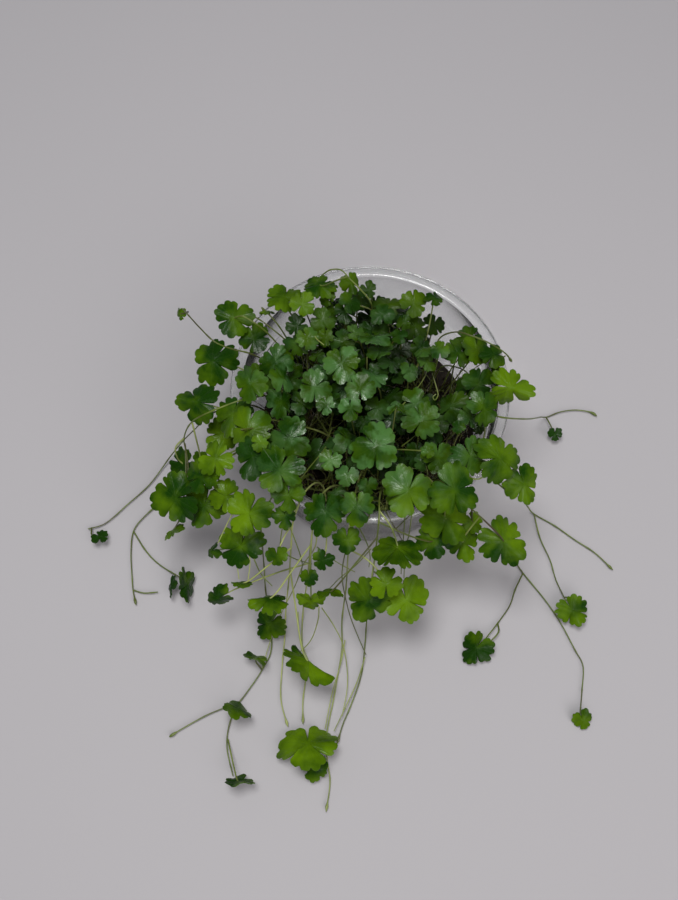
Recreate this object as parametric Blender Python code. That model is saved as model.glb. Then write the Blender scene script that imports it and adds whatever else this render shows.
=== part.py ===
"""Hydrocotyle tripartita overflowing a clear plastic jar.

Units are metres, +Z up, origin at the centre of the jar's underside.  The layout is worked
out in millimetres, because stalks and leaves are that small, and turned into metres when a
mesh is made.  Leaves and trailing stems are placed by where they are seen from one fixed
viewpoint and by their height above the table: the line of sight crosses that height at the
leaf's real place.
"""

from collections import namedtuple
from math import atan2, cos, degrees, hypot, pi, radians, sin

import bmesh
import bpy
import numpy as np

MM = 0.001

# The viewpoint that the layout is read from, in mm, and its picture in pixels
VIEW_FROM = np.array((-11.72, -171.33, 436.77))
VIEW_DOWN = 68.99
VIEW_FOCAL = 1100.0
VIEW_CENTRE = (339.0, 450.0)

# Jar, in mm
JAR_HEIGHT = 56.0
LIP_RADIUS = 53.0
LIP_WIDTH = 3.6
LIP_DROP = 4.2
BASE_RADIUS = 44.0
STEP_HEIGHT = 39.0
STEP_RADIUS = 47.4
STEP_DEPTH = 0.8
WALL = 0.9
FLOOR = 1.4
JAR_SEGMENTS = 36
FOOT_ROUND = 1.5
RIM_ROUND = 0.9
STEP_SLOPE = 1.2

# Soil, in mm
SOIL_TOP = 14.0
SOIL_LUMP = 0.7
SOIL_SEGMENTS = 24
SOIL_FIT = 0.9
SOIL_EDGE = 1.6
SOIL_EDGE_RISE = 0.3
SOIL_RIM_DROP = 0.4
SOIL_RINGS = (29.0, 15.0)
SOIL_WAVE = (0.31, 0.27)
SOIL_SINK = 0.2
GAP = 0.3

# Stems, stalks and leaves, in mm
RUNNER_RADIUS = 0.8
RUNNER_HEIGHT = SOIL_TOP + SOIL_LUMP + GAP + RUNNER_RADIUS
STALK_RADIUS = 0.6
TRAIL_RADIUS = 0.7
BUD_SWELL = 1.5
BUD_LENGTH = 1.8
BUD_TIP = 0.8
TUBE_SIDES = 3
BLADE_THICKNESS = 0.6
BLADE_DISH = -0.10
SMALL_LEAF = 12.5
ROW_SPACING = 9.0
ROW_WAVE = 1.2
ROW_REACH = 37.0
RUNNER_LENGTH = 19.0
RUNNER_SPACE = 5.0
STATION_STEP = 2.4
RUNNER_POINTS = 5
ROW_WAVE_LENGTH = 6.0
OVER_INSET = 1.5
TIP_CLEARANCE = 12.0

# Room that is kept between neighbours while the layout settles, in mm
BLADE_REACH = 1.75
STALK_REACH = 1.95
CLOSE_SHARE = 0.8
JAR_ROOM = 1.1
TABLE_ROOM = 0.4
END_STRETCH = 3.0
CROWDING = 2.0
HIGH_REACH = 8.0
CELL = 0.6
SEARCH_CELLS = 4
DENSE_STEP = 0.8
EDGE_STEP = 6
EDGE_RINGS = 7
ROOM_LOW = (-118.0, -175.0, -4.0)
ROOM_HIGH = (122.0, 80.0, 96.0)

# A leaf's blade is three lobes around the point where its stalk meets it: angle from the
# middle lobe, and distance from the stalk as a share of the blade's radius
LARGE_OUTLINE = ((-138, 0.84), (-98, 1.00), (-66, 0.88), (-46, 0.60), (-20, 1.00),
                 (20, 1.00), (46, 0.60), (66, 0.88), (98, 1.00), (138, 0.84), (180, 0.22))
SMALL_OUTLINE = ((-130, 0.84), (-86, 1.00), (-46, 0.62), (-16, 1.00), (16, 1.00),
                 (46, 0.62), (86, 1.00), (130, 0.84), (180, 0.24))
SINUS_RADIUS = 1.15

# Colours, linear
PLASTIC_COLOUR = (0.92, 0.95, 0.96)
SOIL_COLOUR = (0.022, 0.016, 0.011)
CREEPING_COLOUR = (0.06, 0.16, 0.012)
TRAILING_COLOUR = (0.10, 0.19, 0.015)

# Where a leaf is seen, its height and width in mm, how far and which way its face leans,
# which way its middle lobe points and how far its sides fold down, in degrees.
# 0 is to the right, 90 away from the viewer, 180 to the left and 270 to the viewer
Leaf = namedtuple("Leaf", "seen_x seen_y height width lean toward spin fold")

CANOPY = (
    # Back left
    Leaf(233, 318, 66, 15, 15, 300, 20, 10), Leaf(213, 361, 63, 19, 22, 220, 10, 8),
    Leaf(266, 311, 60, 6, 65, 90, 0, 0), Leaf(254, 339, 58, 12, 20, 250, 60, 0),
    Leaf(250, 383, 66, 13, 30, 240, 250, 12), Leaf(276, 361, 61, 13, 20, 250, 80, 8),
    Leaf(283, 378, 70, 12, 45, 10, 90, 8), Leaf(281, 402, 66, 12, 40, 350, 270, 8),
    Leaf(285, 297, 66, 14, 15, 60, 130, 0), Leaf(302, 304, 68, 10, 25, 300, 60, 0),
    Leaf(297, 326, 59, 9, 20, 250, 200, 0), Leaf(307, 338, 65, 9, 20, 280, 300, 0),
    # Back
    Leaf(358, 300, 52, 10, 20, 20, 0, 0), Leaf(345, 312, 57, 9, 15, 270, 150, 0),
    Leaf(325, 337, 60, 7, 25, 270, 270, 0), Leaf(398, 318, 56, 6, 20, 90, 60, 0),
    Leaf(413, 304, 60, 11, 20, 300, 45, 0), Leaf(415, 327, 52, 11, 20, 330, 320, 0),
    Leaf(375, 337, 66, 13, 44, 90, 180, 0), Leaf(342, 363, 69, 14, 18, 270, 280, 8),
    Leaf(315, 387, 64, 13, 15, 315, 220, 0), Leaf(410, 371, 61, 8, 30, 0, 270, 0),
    Leaf(420, 347, 56, 8, 20, 270, 100, 0),
    # Back right
    Leaf(440, 350, 59, 7, 20, 270, 90, 0), Leaf(458, 353, 66, 12, 25, 0, 80, 8),
    Leaf(476, 350, 57, 12, 30, 0, 270, 0), Leaf(493, 355, 63, 10, 15, 0, 60, 0),
    Leaf(511, 388, 60, 18, 36, 290, 345, 28),
    # Left
    Leaf(197, 402, 60, 17, 22, 210, 170, 25), Leaf(233, 414, 66, 16, 25, 200, 250, 10),
    Leaf(222, 434, 55, 14, 15, 240, 230, 0), Leaf(249, 430, 60, 17, 25, 220, 120, 10),
    Leaf(253, 456, 52, 16, 25, 230, 250, 10), Leaf(259, 443, 71, 6, 15, 270, 0, 0),
    Leaf(216, 458, 64, 14, 22, 230, 210, 8), Leaf(201, 477, 56, 13, 28, 220, 240, 0),
    Leaf(290, 438, 66, 15, 20, 250, 190, 8), Leaf(279, 470, 61, 17, 20, 250, 240, 8),
    # Centre
    Leaf(326, 405, 72, 7, 15, 270, 280, 0), Leaf(360, 388, 66, 11, 15, 270, 90, 0),
    Leaf(350, 408, 73, 9, 18, 270, 270, 0), Leaf(345, 388, 57, 10, 15, 200, 160, 0),
    Leaf(377, 408, 56, 10, 15, 0, 20, 0), Leaf(396, 405, 74, 8, 40, 90, 90, 35),
    Leaf(376, 446, 77, 17, 14, 280, 318, 10), Leaf(330, 460, 71, 8, 15, 270, 250, 0),
    Leaf(347, 476, 68, 8, 20, 240, 250, 0), Leaf(368, 486, 66, 7, 20, 270, 270, 0),
    Leaf(343, 440, 55, 12, 15, 90, 100, 0), Leaf(421, 421, 66, 14, 25, 270, 60, 8),
    # Right
    Leaf(470, 417, 62, 9, 25, 0, 80, 0), Leaf(484, 408, 55, 13, 25, 330, 40, 0),
    Leaf(438, 457, 64, 13, 22, 0, 270, 0), Leaf(428, 451, 71, 5, 20, 270, 200, 0),
    Leaf(470, 456, 60, 14, 22, 300, 300, 8), Leaf(458, 427, 67, 5, 15, 270, 0, 0),
    Leaf(499, 458, 62, 18, 25, 330, 10, 12), Leaf(524, 484, 56, 15, 28, 330, 300, 8),
    # Front left
    Leaf(176, 498, 50, 20, 28, 220, 190, 12), Leaf(204, 506, 45, 17, 25, 250, 250, 10),
    Leaf(226, 496, 50, 13, 25, 240, 200, 0),
    Leaf(249, 513, 62, 17, 25, 250, 240, 10), Leaf(241, 546, 48, 17, 30, 255, 250, 10),
    Leaf(212, 551, 40, 7, 50, 200, 200, 35), Leaf(289, 495, 68, 12, 20, 250, 270, 0),
    Leaf(285, 516, 59, 9, 20, 300, 280, 0), Leaf(277, 556, 51, 8, 40, 260, 270, 0),
    Leaf(243, 583, 37, 8, 60, 90, 180, 0), Leaf(218, 598, 30, 11, 45, 240, 210, 40),
    Leaf(270, 598, 38, 15, 48, 90, 190, 10), Leaf(173, 530, 36, 9, 58, 135, 225, 0),
    # Front
    Leaf(325, 512, 66, 16, 15, 270, 265, 8), Leaf(357, 507, 71, 13, 22, 270, 270, 8),
    Leaf(347, 540, 60, 10, 30, 270, 270, 0), Leaf(323, 560, 53, 8, 35, 270, 250, 0),
    Leaf(309, 577, 46, 7, 40, 260, 270, 0), Leaf(311, 601, 37, 11, 70, 270, 270, 0),
    Leaf(330, 592, 44, 9, 55, 90, 90, 0), Leaf(408, 491, 71, 18, 20, 290, 250, 10),
    Leaf(397, 548, 57, 19, 38, 90, 270, 10), Leaf(368, 600, 41, 17, 35, 260, 250, 12),
    Leaf(406, 600, 37, 18, 25, 290, 290, 10), Leaf(386, 584, 48, 12, 20, 270, 90, 0),
    # Front right
    Leaf(455, 490, 65, 19, 25, 330, 330, 8), Leaf(446, 519, 57, 19, 22, 290, 300, 8),
    Leaf(473, 522, 50, 8, 20, 300, 300, 0), Leaf(463, 542, 50, 14, 28, 290, 290, 8),
    Leaf(433, 541, 47, 13, 30, 270, 280, 0), Leaf(503, 540, 52, 19, 18, 300, 315, 10),
)

# A stem that leaves the soil's bed: where its root is in mm, the azimuth and the lift at which
# it crosses the jar's lip if it does, then the points where it is seen, each with its height,
# its side branches and the leaves that grow from it
Trail = namedtuple("Trail", "name root over route branches leaves")

TRAILS = (
    Trail("trailing_stem_left_long", (-36, -4.5), (190, 4.5),
          ((209, 415, 54), (196, 428, 36), (183, 441, 16), (170, 457, 4), (150, 484, 1.4),
           (128, 504, 1.4), (106, 523, 1.4), (88, 529, 1.6)), (),
          (Leaf(100, 537, 5, 7, 25, 90, 315, 0),)),
    Trail("trailing_stem_left_short", (-34, 4.5), (194, 15),
          ((203, 415, 66), (190, 424, 58), (184, 438, 50), (186, 452, 43)), (),
          (Leaf(183, 464, 38, 12, 35, 220, 200, 8), Leaf(200, 458, 45, 6, 30, 250, 270, 0))),
    Trail("trailing_stem_far_left", (-32, -13.5), (209, 4.5),
          ((216, 466, 54), (205, 474, 36), (194, 484, 18), (180, 494, 4), (160, 504, 1.4),
           (147, 514, 1.4), (134, 530, 1.4), (131, 552, 1.4), (132, 576, 1.4), (133, 590, 1.4),
           (136, 605, 1.6)),
          (((134, 532, 1.4), (146, 551, 1.4), (160, 565, 1.4), (183, 579, 2.5)),
           ((133, 590, 1.4), (144, 593, 1.4), (158, 592, 2.0))),
          (Leaf(187, 584, 7, 14, 72, 0, 270, 0), Leaf(171, 586, 6, 9, 66, 180, 270, 0))),
    Trail("young_shoot_left", (-34, 13.5), (170, 15),
          ((215, 342, 76), (201, 329, 75), (190, 317, 71), (183, 309, 66)), (),
          (Leaf(180, 314, 60, 5, 40, 240, 260, 30),)),
    Trail("arching_stem_back", (4, 31.5), None,
          ((371, 303, 62), (360, 289, 70), (350, 279, 73), (341, 270, 74), (330, 270, 71),
           (322, 275, 66)), (),
          (Leaf(320, 285, 61, 13, 15, 90, 225, 5),)),
    Trail("arching_stem_right", (26, 13.5), None,
          ((439, 339, 66), (455, 332, 76), (472, 336, 79), (489, 343, 77), (505, 353, 71),
           (512, 362, 65)), (), ()),
    Trail("trailing_stem_right", (34, -4.5), (342, 9),
          ((526, 419, 50), (536, 418, 28), (541, 417, 9), (547, 417, 1.6), (560, 412, 1.4),
           (575, 410, 1.4), (590, 412, 1.4), (597, 416, 1.6)), (),
          (Leaf(555, 434, 5, 6, 20, 270, 270, 0),)),
    Trail("trailing_stem_front_right", (30, -22.5), (319, 5),
          ((507, 491, 58), (518, 497, 42), (524, 502, 22), (528, 507, 7), (534, 514, 1.6),
           (555, 526, 1.4), (575, 540, 1.4), (595, 553, 1.4), (613, 570, 1.6)),
          (((534, 514, 1.6), (540, 538, 1.4), (550, 560, 1.4), (556, 580, 1.4),
            (566, 601, 3.0)),),
          (Leaf(572, 610, 5, 13, 20, 270, 300, 0),)),
    Trail("trailing_stem_front_right_long", (21, -31.5), (304, 4.5),
          ((484, 520, 58), (497, 534, 42), (504, 545, 20), (512, 557, 5), (523, 573, 1.4),
           (545, 600, 1.4), (560, 622, 1.4), (575, 650, 1.4), (583, 666, 1.4), (582, 690, 1.4),
           (580, 714, 1.8)),
          (((523, 573, 1.4), (515, 590, 1.4), (510, 605, 1.4), (500, 620, 1.4),
            (486, 638, 2.5)),),
          (Leaf(583, 720, 4, 8, 30, 270, 290, 20), Leaf(476, 648, 5, 14, 25, 200, 225, 20))),
    Trail("trailing_stem_front_left", (-24, -22.5), (231, 5),
          ((262, 515, 58), (262, 540, 44), (264, 566, 22), (266, 594, 5), (271, 625, 1.4),
           (271, 651, 1.4), (262, 670, 1.4), (250, 688, 1.4), (237, 704, 1.4), (224, 708, 1.4),
           (205, 716, 1.4), (180, 730, 1.4), (169, 737, 1.6)),
          (((237, 704, 1.4), (229, 726, 1.4), (227, 748, 1.4), (233, 776, 2.0)),),
          (Leaf(270, 624, 9, 13, 30, 240, 230, 10), Leaf(238, 709, 6, 12, 62, 60, 330, 0),
           Leaf(238, 781, 5, 11, 68, 90, 0, 0), Leaf(256, 658, 6, 10, 66, 70, 160, 0))),
    Trail("trailing_stem_front_pale", (-17, -31.5), (241, 5),
          ((293, 522, 57), (291, 548, 45), (289, 578, 24), (286, 608, 6), (285, 634, 1.4),
           (282, 668, 1.4), (281, 700, 1.4), (288, 727, 1.6)), (),
          (Leaf(308, 661, 6, 22, 64, 50, 315, 20),)),
    Trail("trailing_stem_front_thin", (-9, -31.5), (247.5, 5),
          ((313, 526, 57), (310, 552, 44), (307, 582, 22), (303, 612, 4), (302, 642, 1.4),
           (306, 672, 1.4), (303, 700, 1.4), (303, 724, 1.6)), (), ()),
    Trail("trailing_stem_front_long", (-2, -22.5), (262, 5),
          ((351, 528, 57), (348, 556, 44), (346, 588, 20), (342, 620, 3.5), (342, 648, 1.4),
           (338, 674, 1.4), (333, 702, 1.4), (327, 732, 1.4), (327, 758, 1.4), (330, 782, 1.4),
           (326, 812, 1.6)), (),
          (Leaf(308, 744, 8, 22, 36, 95, 275, 15),
           Leaf(316, 770, 5, 10, 25, 270, 250, 10))),
    Trail("trailing_stem_front_bare", (6, -31.5), (273, 5),
          ((378, 530, 57), (375, 556, 45), (371, 588, 24), (367, 618, 7), (365, 644, 1.4),
           (361, 676, 1.4), (351, 705, 1.4), (343, 724, 1.4), (337, 744, 1.6)), (), ()),
)

HEIGHT_TRIES = (0, 2, -2, 4, -4, 6, -6, 8, -8, 10, -10, 12, -12, 14, -14, 17, -17, 20)
BOW_TRIES = ((0, 0),) + tuple((size, 45 * turn) for size in (5, 10) for turn in range(8))
LIFT_TRIES = (3.0, 5.0, 7.0, 9.5, 12.0, 15.0)
SWING_TRIES = (0, 5, -5, 10, -10, 16, -16, 24, -24)

# A hanging leaf's stalk: its length, how far it drops, and below what height a leaf lies instead
STALK_SPAN = 17.0
STALK_DROP = 9.0
LYING_HEIGHT = 12.0

# Curves: how far the handles pull, as a share of the rise or of the blade's radius, or in mm
ROOT_PULL = 0.4
ROUTE_PULL = 0.3
INNER_PULL = 0.6
LIP_PULL = 9.0
ARCH_PULL = 8.0
BLADE_PULL = 0.5
LEAST_BLADE_PULL = 3.0
HANGING_PULL = 0.35
LEAST_HANGING_PULL = 1.5
HANGING_RISE = 1.5
CURVE_STEPS = 3
INNER_STEPS = 5

# Which stems a leaf may grow from, nearest first, and from how many places on each
RISING_STEMS = 9
HANGING_STEMS = 4
RISING_STARTS = 6
HANGING_STARTS = 10
ARCHING_STARTS = 3
ROOT_SHARE = 0.72
INSIDE_ROOM = 4.0
OWN_STATION = 0.6
FAR = 999.0


def direction(azimuth):
    """Return the level unit vector at an angle in degrees."""
    return np.array((cos(radians(azimuth)), sin(radians(azimuth)), 0.0))


def spot(seen_x, seen_y, height):
    """Return the point in mm that is seen at a pixel and lies at a height."""
    down = radians(VIEW_DOWN)
    ahead = np.array((0.0, cos(down), -sin(down)))
    above = np.array((0.0, sin(down), cos(down)))
    right = np.array((1.0, 0.0, 0.0))
    across = (seen_x - VIEW_CENTRE[0]) / VIEW_FOCAL
    up = (VIEW_CENTRE[1] - seen_y) / VIEW_FOCAL
    sight = ahead + right * across + above * up
    return VIEW_FROM + sight * (height - VIEW_FROM[2]) / sight[2]


class Blade:
    """A leaf's blade: its place, its own axes and the form of its edge."""

    def __init__(self, leaf, height):
        self.leaf = leaf
        self.origin = spot(leaf.seen_x, leaf.seen_y, height)
        self.radius = leaf.width / 2
        lean = radians(leaf.lean)
        self.normal = direction(leaf.toward) * sin(lean) + np.array((0, 0, cos(lean)))
        middle = direction(leaf.spin)
        middle = middle - self.normal * middle.dot(self.normal)
        self.middle = middle / np.linalg.norm(middle)
        self.side = np.cross(self.normal, self.middle)
        self.fold = radians(leaf.fold)
        outline = LARGE_OUTLINE if leaf.width >= SMALL_LEAF else SMALL_OUTLINE
        self.angles = np.radians([angle for angle, _ in outline])
        reach = self.radius * np.array([share for _, share in outline])
        reach[-1] = max(reach[-1], SINUS_RADIUS)
        self.reach = reach

    def edge(self, angle):
        """Return the distance from the stalk to the edge at an angle."""
        return np.interp(angle, self.angles, self.reach, period=2 * pi)

    def place(self, ahead, aside, above=0.0):
        """Return the points at flat blade coordinates, dished and folded into place."""
        dish = BLADE_DISH * (ahead ** 2 + aside ** 2) / self.radius
        across = aside * cos(self.fold)
        drop = -np.abs(aside) * sin(self.fold)
        return (self.origin + np.outer(ahead, self.middle) + np.outer(across, self.side)
                + np.outer(drop + dish + above, self.normal))

    def samples(self):
        """Return points spread over the blade's middle surface."""
        turn = np.radians(np.arange(0, 360, EDGE_STEP))
        edge = self.edge(turn)
        shares = np.linspace(0, 1, EDGE_RINGS)[:, None]
        return self.place((shares * edge * np.cos(turn)).ravel(),
                          (shares * edge * np.sin(turn)).ravel())


class Room:
    """The space around the plant in small cells, each marked with how near something is."""

    def __init__(self):
        self.low = np.array(ROOM_LOW)
        size = (np.array(ROOM_HIGH) - self.low) / CELL
        self.cells = np.zeros(size.astype(int), dtype=np.uint8)

    def find(self, points):
        """Return the cells that points lie in."""
        cells = np.rint((points - self.low) / CELL).astype(int)
        return np.clip(cells, 0, np.array(self.cells.shape) - 1)

    def fill(self, points, reach):
        """Mark the cells within reach of points as near, and the nearest ones as taken."""
        span = np.arange(-SEARCH_CELLS, SEARCH_CELLS + 1)
        offsets = np.stack(np.meshgrid(span, span, span), axis=-1).reshape(-1, 3)
        away = np.linalg.norm(offsets, axis=1) * CELL
        found = self.find(points)
        for limit, mark in ((reach, 1), (reach * CLOSE_SHARE, 2)):
            around = (found[:, None] + offsets[away <= limit][None]).reshape(-1, 3)
            around = tuple(np.clip(around, 0, np.array(self.cells.shape) - 1).T)
            self.cells[around] = np.maximum(self.cells[around], mark)

    def mark_at(self, points):
        """Return the strongest mark among the cells of points, 0 where all are free."""
        if not len(points):
            return 0
        return int(self.cells[tuple(self.find(points).T)].max())


def jar_outer_radius(height):
    """Return the jar's outer radius in mm at a height below its lip."""
    share = np.minimum(height, STEP_HEIGHT) / STEP_HEIGHT
    below = BASE_RADIUS + (STEP_RADIUS - BASE_RADIUS) * share
    over = np.maximum(height - STEP_HEIGHT, 0) / (JAR_HEIGHT - STEP_HEIGHT)
    upper = STEP_RADIUS + STEP_DEPTH + (LIP_RADIUS - LIP_WIDTH - STEP_RADIUS - STEP_DEPTH) * over
    return np.where(height < STEP_HEIGHT, below, upper)


def touches_jar(points, room):
    """Tell whether any point is in the jar's wall or lip, or nearer than the room given."""
    span = np.hypot(points[:, 0], points[:, 1])
    height = points[:, 2]
    outer = jar_outer_radius(height)
    wall = (span < outer + room) & (span > outer - WALL - room) & (height < JAR_HEIGHT + room)
    lip_low = JAR_HEIGHT - LIP_DROP - room
    lip = (span < LIP_RADIUS + room) & (span > LIP_RADIUS - LIP_WIDTH - WALL - room)
    lip &= (height < JAR_HEIGHT + room) & (height > lip_low)
    under = (span < outer - WALL - room) & (height < SOIL_TOP + SOIL_LUMP + room / 2)
    return bool((wall | lip | under).any())


def dense(points, step=DENSE_STEP):
    """Return a polyline's points with more between them, no further apart than a step."""
    pieces = []
    for start, end in zip(points[:-1], points[1:]):
        count = max(2, int(np.linalg.norm(end - start) / step) + 2)
        pieces.append(start + np.outer(np.linspace(0, 1, count, endpoint=False), end - start))
    return np.vstack(pieces + [points[-1:]])


def bezier(start, first, second, end, steps):
    """Return the points of a cubic curve."""
    t = np.linspace(0, 1, steps + 1)[:, None]
    u = 1 - t
    return u ** 3 * start + 3 * u ** 2 * t * first + 3 * u * t ** 2 * second + t ** 3 * end


def runner_axes():
    """Return the axes of the creeping stems that lie on the soil in waving rows."""
    axes = []
    rows = int(ROW_REACH // ROW_SPACING)
    for row in range(-rows, rows + 1):
        y = row * ROW_SPACING
        half = (ROW_REACH ** 2 - y ** 2) ** 0.5
        count = max(1, round(2 * half / (RUNNER_LENGTH + RUNNER_SPACE)))
        pitch = (2 * half + RUNNER_SPACE) / count
        for index in range(count):
            start = -half + index * pitch
            x = np.linspace(start, start + pitch - RUNNER_SPACE, RUNNER_POINTS)
            wave = y + ROW_WAVE * np.sin(x / ROW_WAVE_LENGTH)
            axes.append(np.column_stack((x, wave, np.full(RUNNER_POINTS, RUNNER_HEIGHT))))
    return axes


def over_lip(azimuth, lift):
    """Return the point just inside the lip's edge at which a stem crosses it."""
    return direction(azimuth) * (LIP_RADIUS - OVER_INSET) + np.array((0, 0, JAR_HEIGHT + lift))


def trail_route(trail):
    """Return a trailing stem's points from its root, over the lip and along the table."""
    seen = np.array([spot(*point) for point in trail.route])
    root = np.array((*trail.root, RUNNER_HEIGHT))
    if trail.over is None:
        rise = np.array((0, 0, seen[0][2] - root[2]))
        first = bezier(root, root + rise * ROOT_PULL, seen[0] - rise * ROUTE_PULL, seen[0], CURVE_STEPS)
        return np.vstack((first, seen[1:]))
    over = over_lip(*trail.over)
    rise = np.array((0, 0, over[2] - root[2]))
    before = over - direction(trail.over[0]) * LIP_PULL
    inner = bezier(root, root + rise * INNER_PULL, before, over, INNER_STEPS)
    return np.vstack((inner, seen))


def clear_blade(leaf, room):
    """Return a leaf's blade at the height nearest to its own at which it is clear, or None."""
    for allowed in (0, 1):
        for change in HEIGHT_TRIES:
            blade = Blade(leaf, leaf.height + change)
            points = blade.samples()
            low = points[:, 2].min() < TABLE_ROOM + BLADE_THICKNESS / 2
            if not low and not touches_jar(points, JAR_ROOM) and room.mark_at(points) <= allowed:
                return blade
    return None


def settle_blades(leaves, room):
    """Return the blades of the leaves that find a clear height, by their leaf."""
    settled = {}
    for leaf in leaves:
        blade = clear_blade(leaf, room)
        if blade:
            room.fill(blade.samples(), BLADE_REACH)
            settled[leaf] = blade
    return settled


def rising_ways(blade, stations):
    """Yield the ways for a stalk from the soil to a blade that stands inside the lip."""
    end = blade.origin - blade.normal * BLADE_THICKNESS / 2
    pull = blade.normal * max(LEAST_BLADE_PULL, BLADE_PULL * blade.radius)
    for size, turn in BOW_TRIES:
        bow = direction(turn) * size
        for start in nearest_points(stations, end, RISING_STARTS):
            rise = np.array((0, 0, end[2] - start[2]))
            first = start + rise * ROOT_PULL + bow
            yield start, bezier(start, first, end - pull - rise * 0.2 + bow, end, CURVE_STEPS)


def hanging_ways(blade, stations):
    """Yield the ways for a stalk from a trailing stem to a blade outside the jar."""
    end = blade.origin - blade.normal * BLADE_THICKNESS / 2
    pull = blade.normal * max(LEAST_HANGING_PULL, HANGING_PULL * blade.radius)
    for size, turn in BOW_TRIES:
        bow = direction(turn) * size
        for start in stalk_starts(stations, end):
            first = start + (end - start) * 0.3 + bow * 0.6 + (0, 0, HANGING_RISE)
            yield start, bezier(start, first, end - pull + bow * 0.3, end, CURVE_STEPS)


def stalk_starts(stations, end):
    """Return the points of a stem that a hanging leaf's stalk would best start from."""
    reach, above = (STALK_SPAN, STALK_DROP) if end[2] > LYING_HEIGHT else (STALK_SPAN / 4, 0.0)
    return sorted(stations, key=lambda point: abs(np.linalg.norm(point - end) - reach)
                  + max(0.0, end[2] + above - point[2]))[:HANGING_STARTS]


def arching_ways(blade, stations):
    """Yield the ways for a stalk from the soil over the jar's lip to a blade outside it."""
    end = blade.origin - blade.normal * BLADE_THICKNESS / 2
    last_pull = blade.normal * max(LEAST_BLADE_PULL, BLADE_PULL * blade.radius)
    azimuth = degrees(atan2(end[1], end[0]))
    for lift in LIFT_TRIES:
        for swing in SWING_TRIES:
            outward = direction(azimuth + swing)
            over = over_lip(azimuth + swing, lift)
            for start in nearest_points(stations, end, ARCHING_STARTS):
                rise = np.array((0, 0, over[2] - start[2]))
                before = over - outward * ARCH_PULL
                first = bezier(start, start + rise / 2, before, over, CURVE_STEPS)
                pull = outward * min(ARCH_PULL, np.linalg.norm(end - over) / 2)
                second = bezier(over, over + pull, end - last_pull, end, CURVE_STEPS)
                yield start, np.vstack((first, second[1:]))


def nearest_points(points, target, count):
    """Return the few points that lie nearest to a target in plan."""
    return sorted(points, key=lambda point: hypot(*(point - target)[:2]))[:count]


def open_stretch(way):
    """Return a stalk's points, but for its ends, where it meets its own stem and blade."""
    points = dense(way)
    from_start = np.linalg.norm(points - way[0], axis=1)
    from_end = np.linalg.norm(points - way[-1], axis=1)
    return points[(from_start > END_STRETCH) & (from_end > END_STRETCH)]


def find_way(blade, tries, room):
    """Return the first clear way to a blade, with its stem and where it starts."""
    for allowed in (0, 1):
        for stem, ways in tries:
            for start, way in ways(blade, stem.stations):
                points = open_stretch(way)
                if not len(points):
                    return stem, start, way
                low = points[:, 2].min() < TABLE_ROOM + STALK_RADIUS
                if not low and room.mark_at(points) <= allowed and not touches_jar(points, JAR_ROOM):
                    return stem, start, way
    return None


class Stem:
    """A stem: its axis, its side branches and the leaf stalks that grow from it."""

    def __init__(self, name, axis, branches=()):
        self.name = name
        self.axis = axis
        self.branches = list(branches)
        self.stalks = []
        paths = [dense(path, STATION_STEP)[1:-1] for path in [axis] + self.branches]
        points = np.vstack(paths)
        outside = np.hypot(points[:, 0], points[:, 1]) > LIP_RADIUS - LIP_WIDTH - WALL
        if outside.any():
            points = points[outside]
        self.stations = list(points)

    def grow(self, blade, start, way):
        """Add a leaf on its stalk, and leave its station and those beside it to it."""
        self.stalks.append((blade, way))
        self.stations = [point for point in self.stations
                         if np.linalg.norm(point - start) > OWN_STATION * STATION_STEP]


def plan_plant():
    """Settle every stem, blade and stalk, and return the stems."""
    room = Room()
    runners = [Stem("", axis) for axis in runner_axes()]
    trails = []
    for trail in TRAILS:
        route = trail_route(trail)
        branches = [np.array([spot(*point) for point in branch]) for branch in trail.branches]
        trails.append(Stem(trail.name, route, branches))
    for stem in runners + trails:
        for path in [stem.axis] + stem.branches:
            room.fill(dense(path), STALK_REACH)
    own_leaves = [leaf for trail in TRAILS for leaf in trail.leaves]
    blades = settle_blades(own_leaves + list(CANOPY), room)

    for trail, stem in zip(TRAILS, trails):
        for leaf in trail.leaves:
            if leaf in blades:
                place_stalk(blades[leaf], [(stem, hanging_ways)], room)
    for leaf in CANOPY:
        if leaf in blades:
            place_stalk(blades[leaf], stalk_tries(blades[leaf], runners, trails), room)
    kept = [stem for stem in runners if stem.stalks]
    for number, stem in enumerate(kept, start=1):
        stem.name = f"creeping_stem_{number:02d}"
    return trails + kept


def stalk_tries(blade, runners, trails):
    """Return the stems that a canopy leaf may grow from, each with the kind of way from it."""
    span = hypot(blade.origin[0], blade.origin[1])
    root = blade.origin[:2] * min(1.0, ROOT_SHARE * ROW_REACH / max(span, 1.0))
    rooted = sorted(runners, key=lambda stem: CROWDING * len(stem.stalks) + min(
        np.linalg.norm(point[:2] - root) for point in stem.axis))
    if span < LIP_RADIUS - LIP_WIDTH - INSIDE_ROOM:
        return [(stem, rising_ways) for stem in rooted[:RISING_STEMS]]
    near = sorted(trails, key=lambda stem: CROWDING * len(stem.stalks) + min(
        [np.linalg.norm(point - blade.origin) for point in stem.stations] + [FAR]))
    hanging = [(stem, hanging_ways) for stem in near[:HANGING_STEMS]]
    arching = [(stem, arching_ways) for stem in rooted[:HANGING_STEMS]]
    high = blade.origin[2] > JAR_HEIGHT and span < LIP_RADIUS + HIGH_REACH
    return arching + hanging if high else hanging + arching


def place_stalk(blade, tries, room):
    """Grow a stalk to a blade from the first stem that has a clear way to it."""
    found = find_way(blade, tries, room)
    if found:
        stem, start, way = found
        stem.grow(blade, start, way)
        room.fill(open_stretch(way), STALK_REACH)


# Any direction that no stem runs along, from which the first ring's sides are turned
SIDE_HINT = (0.31, 0.95, 0.05)


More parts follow.
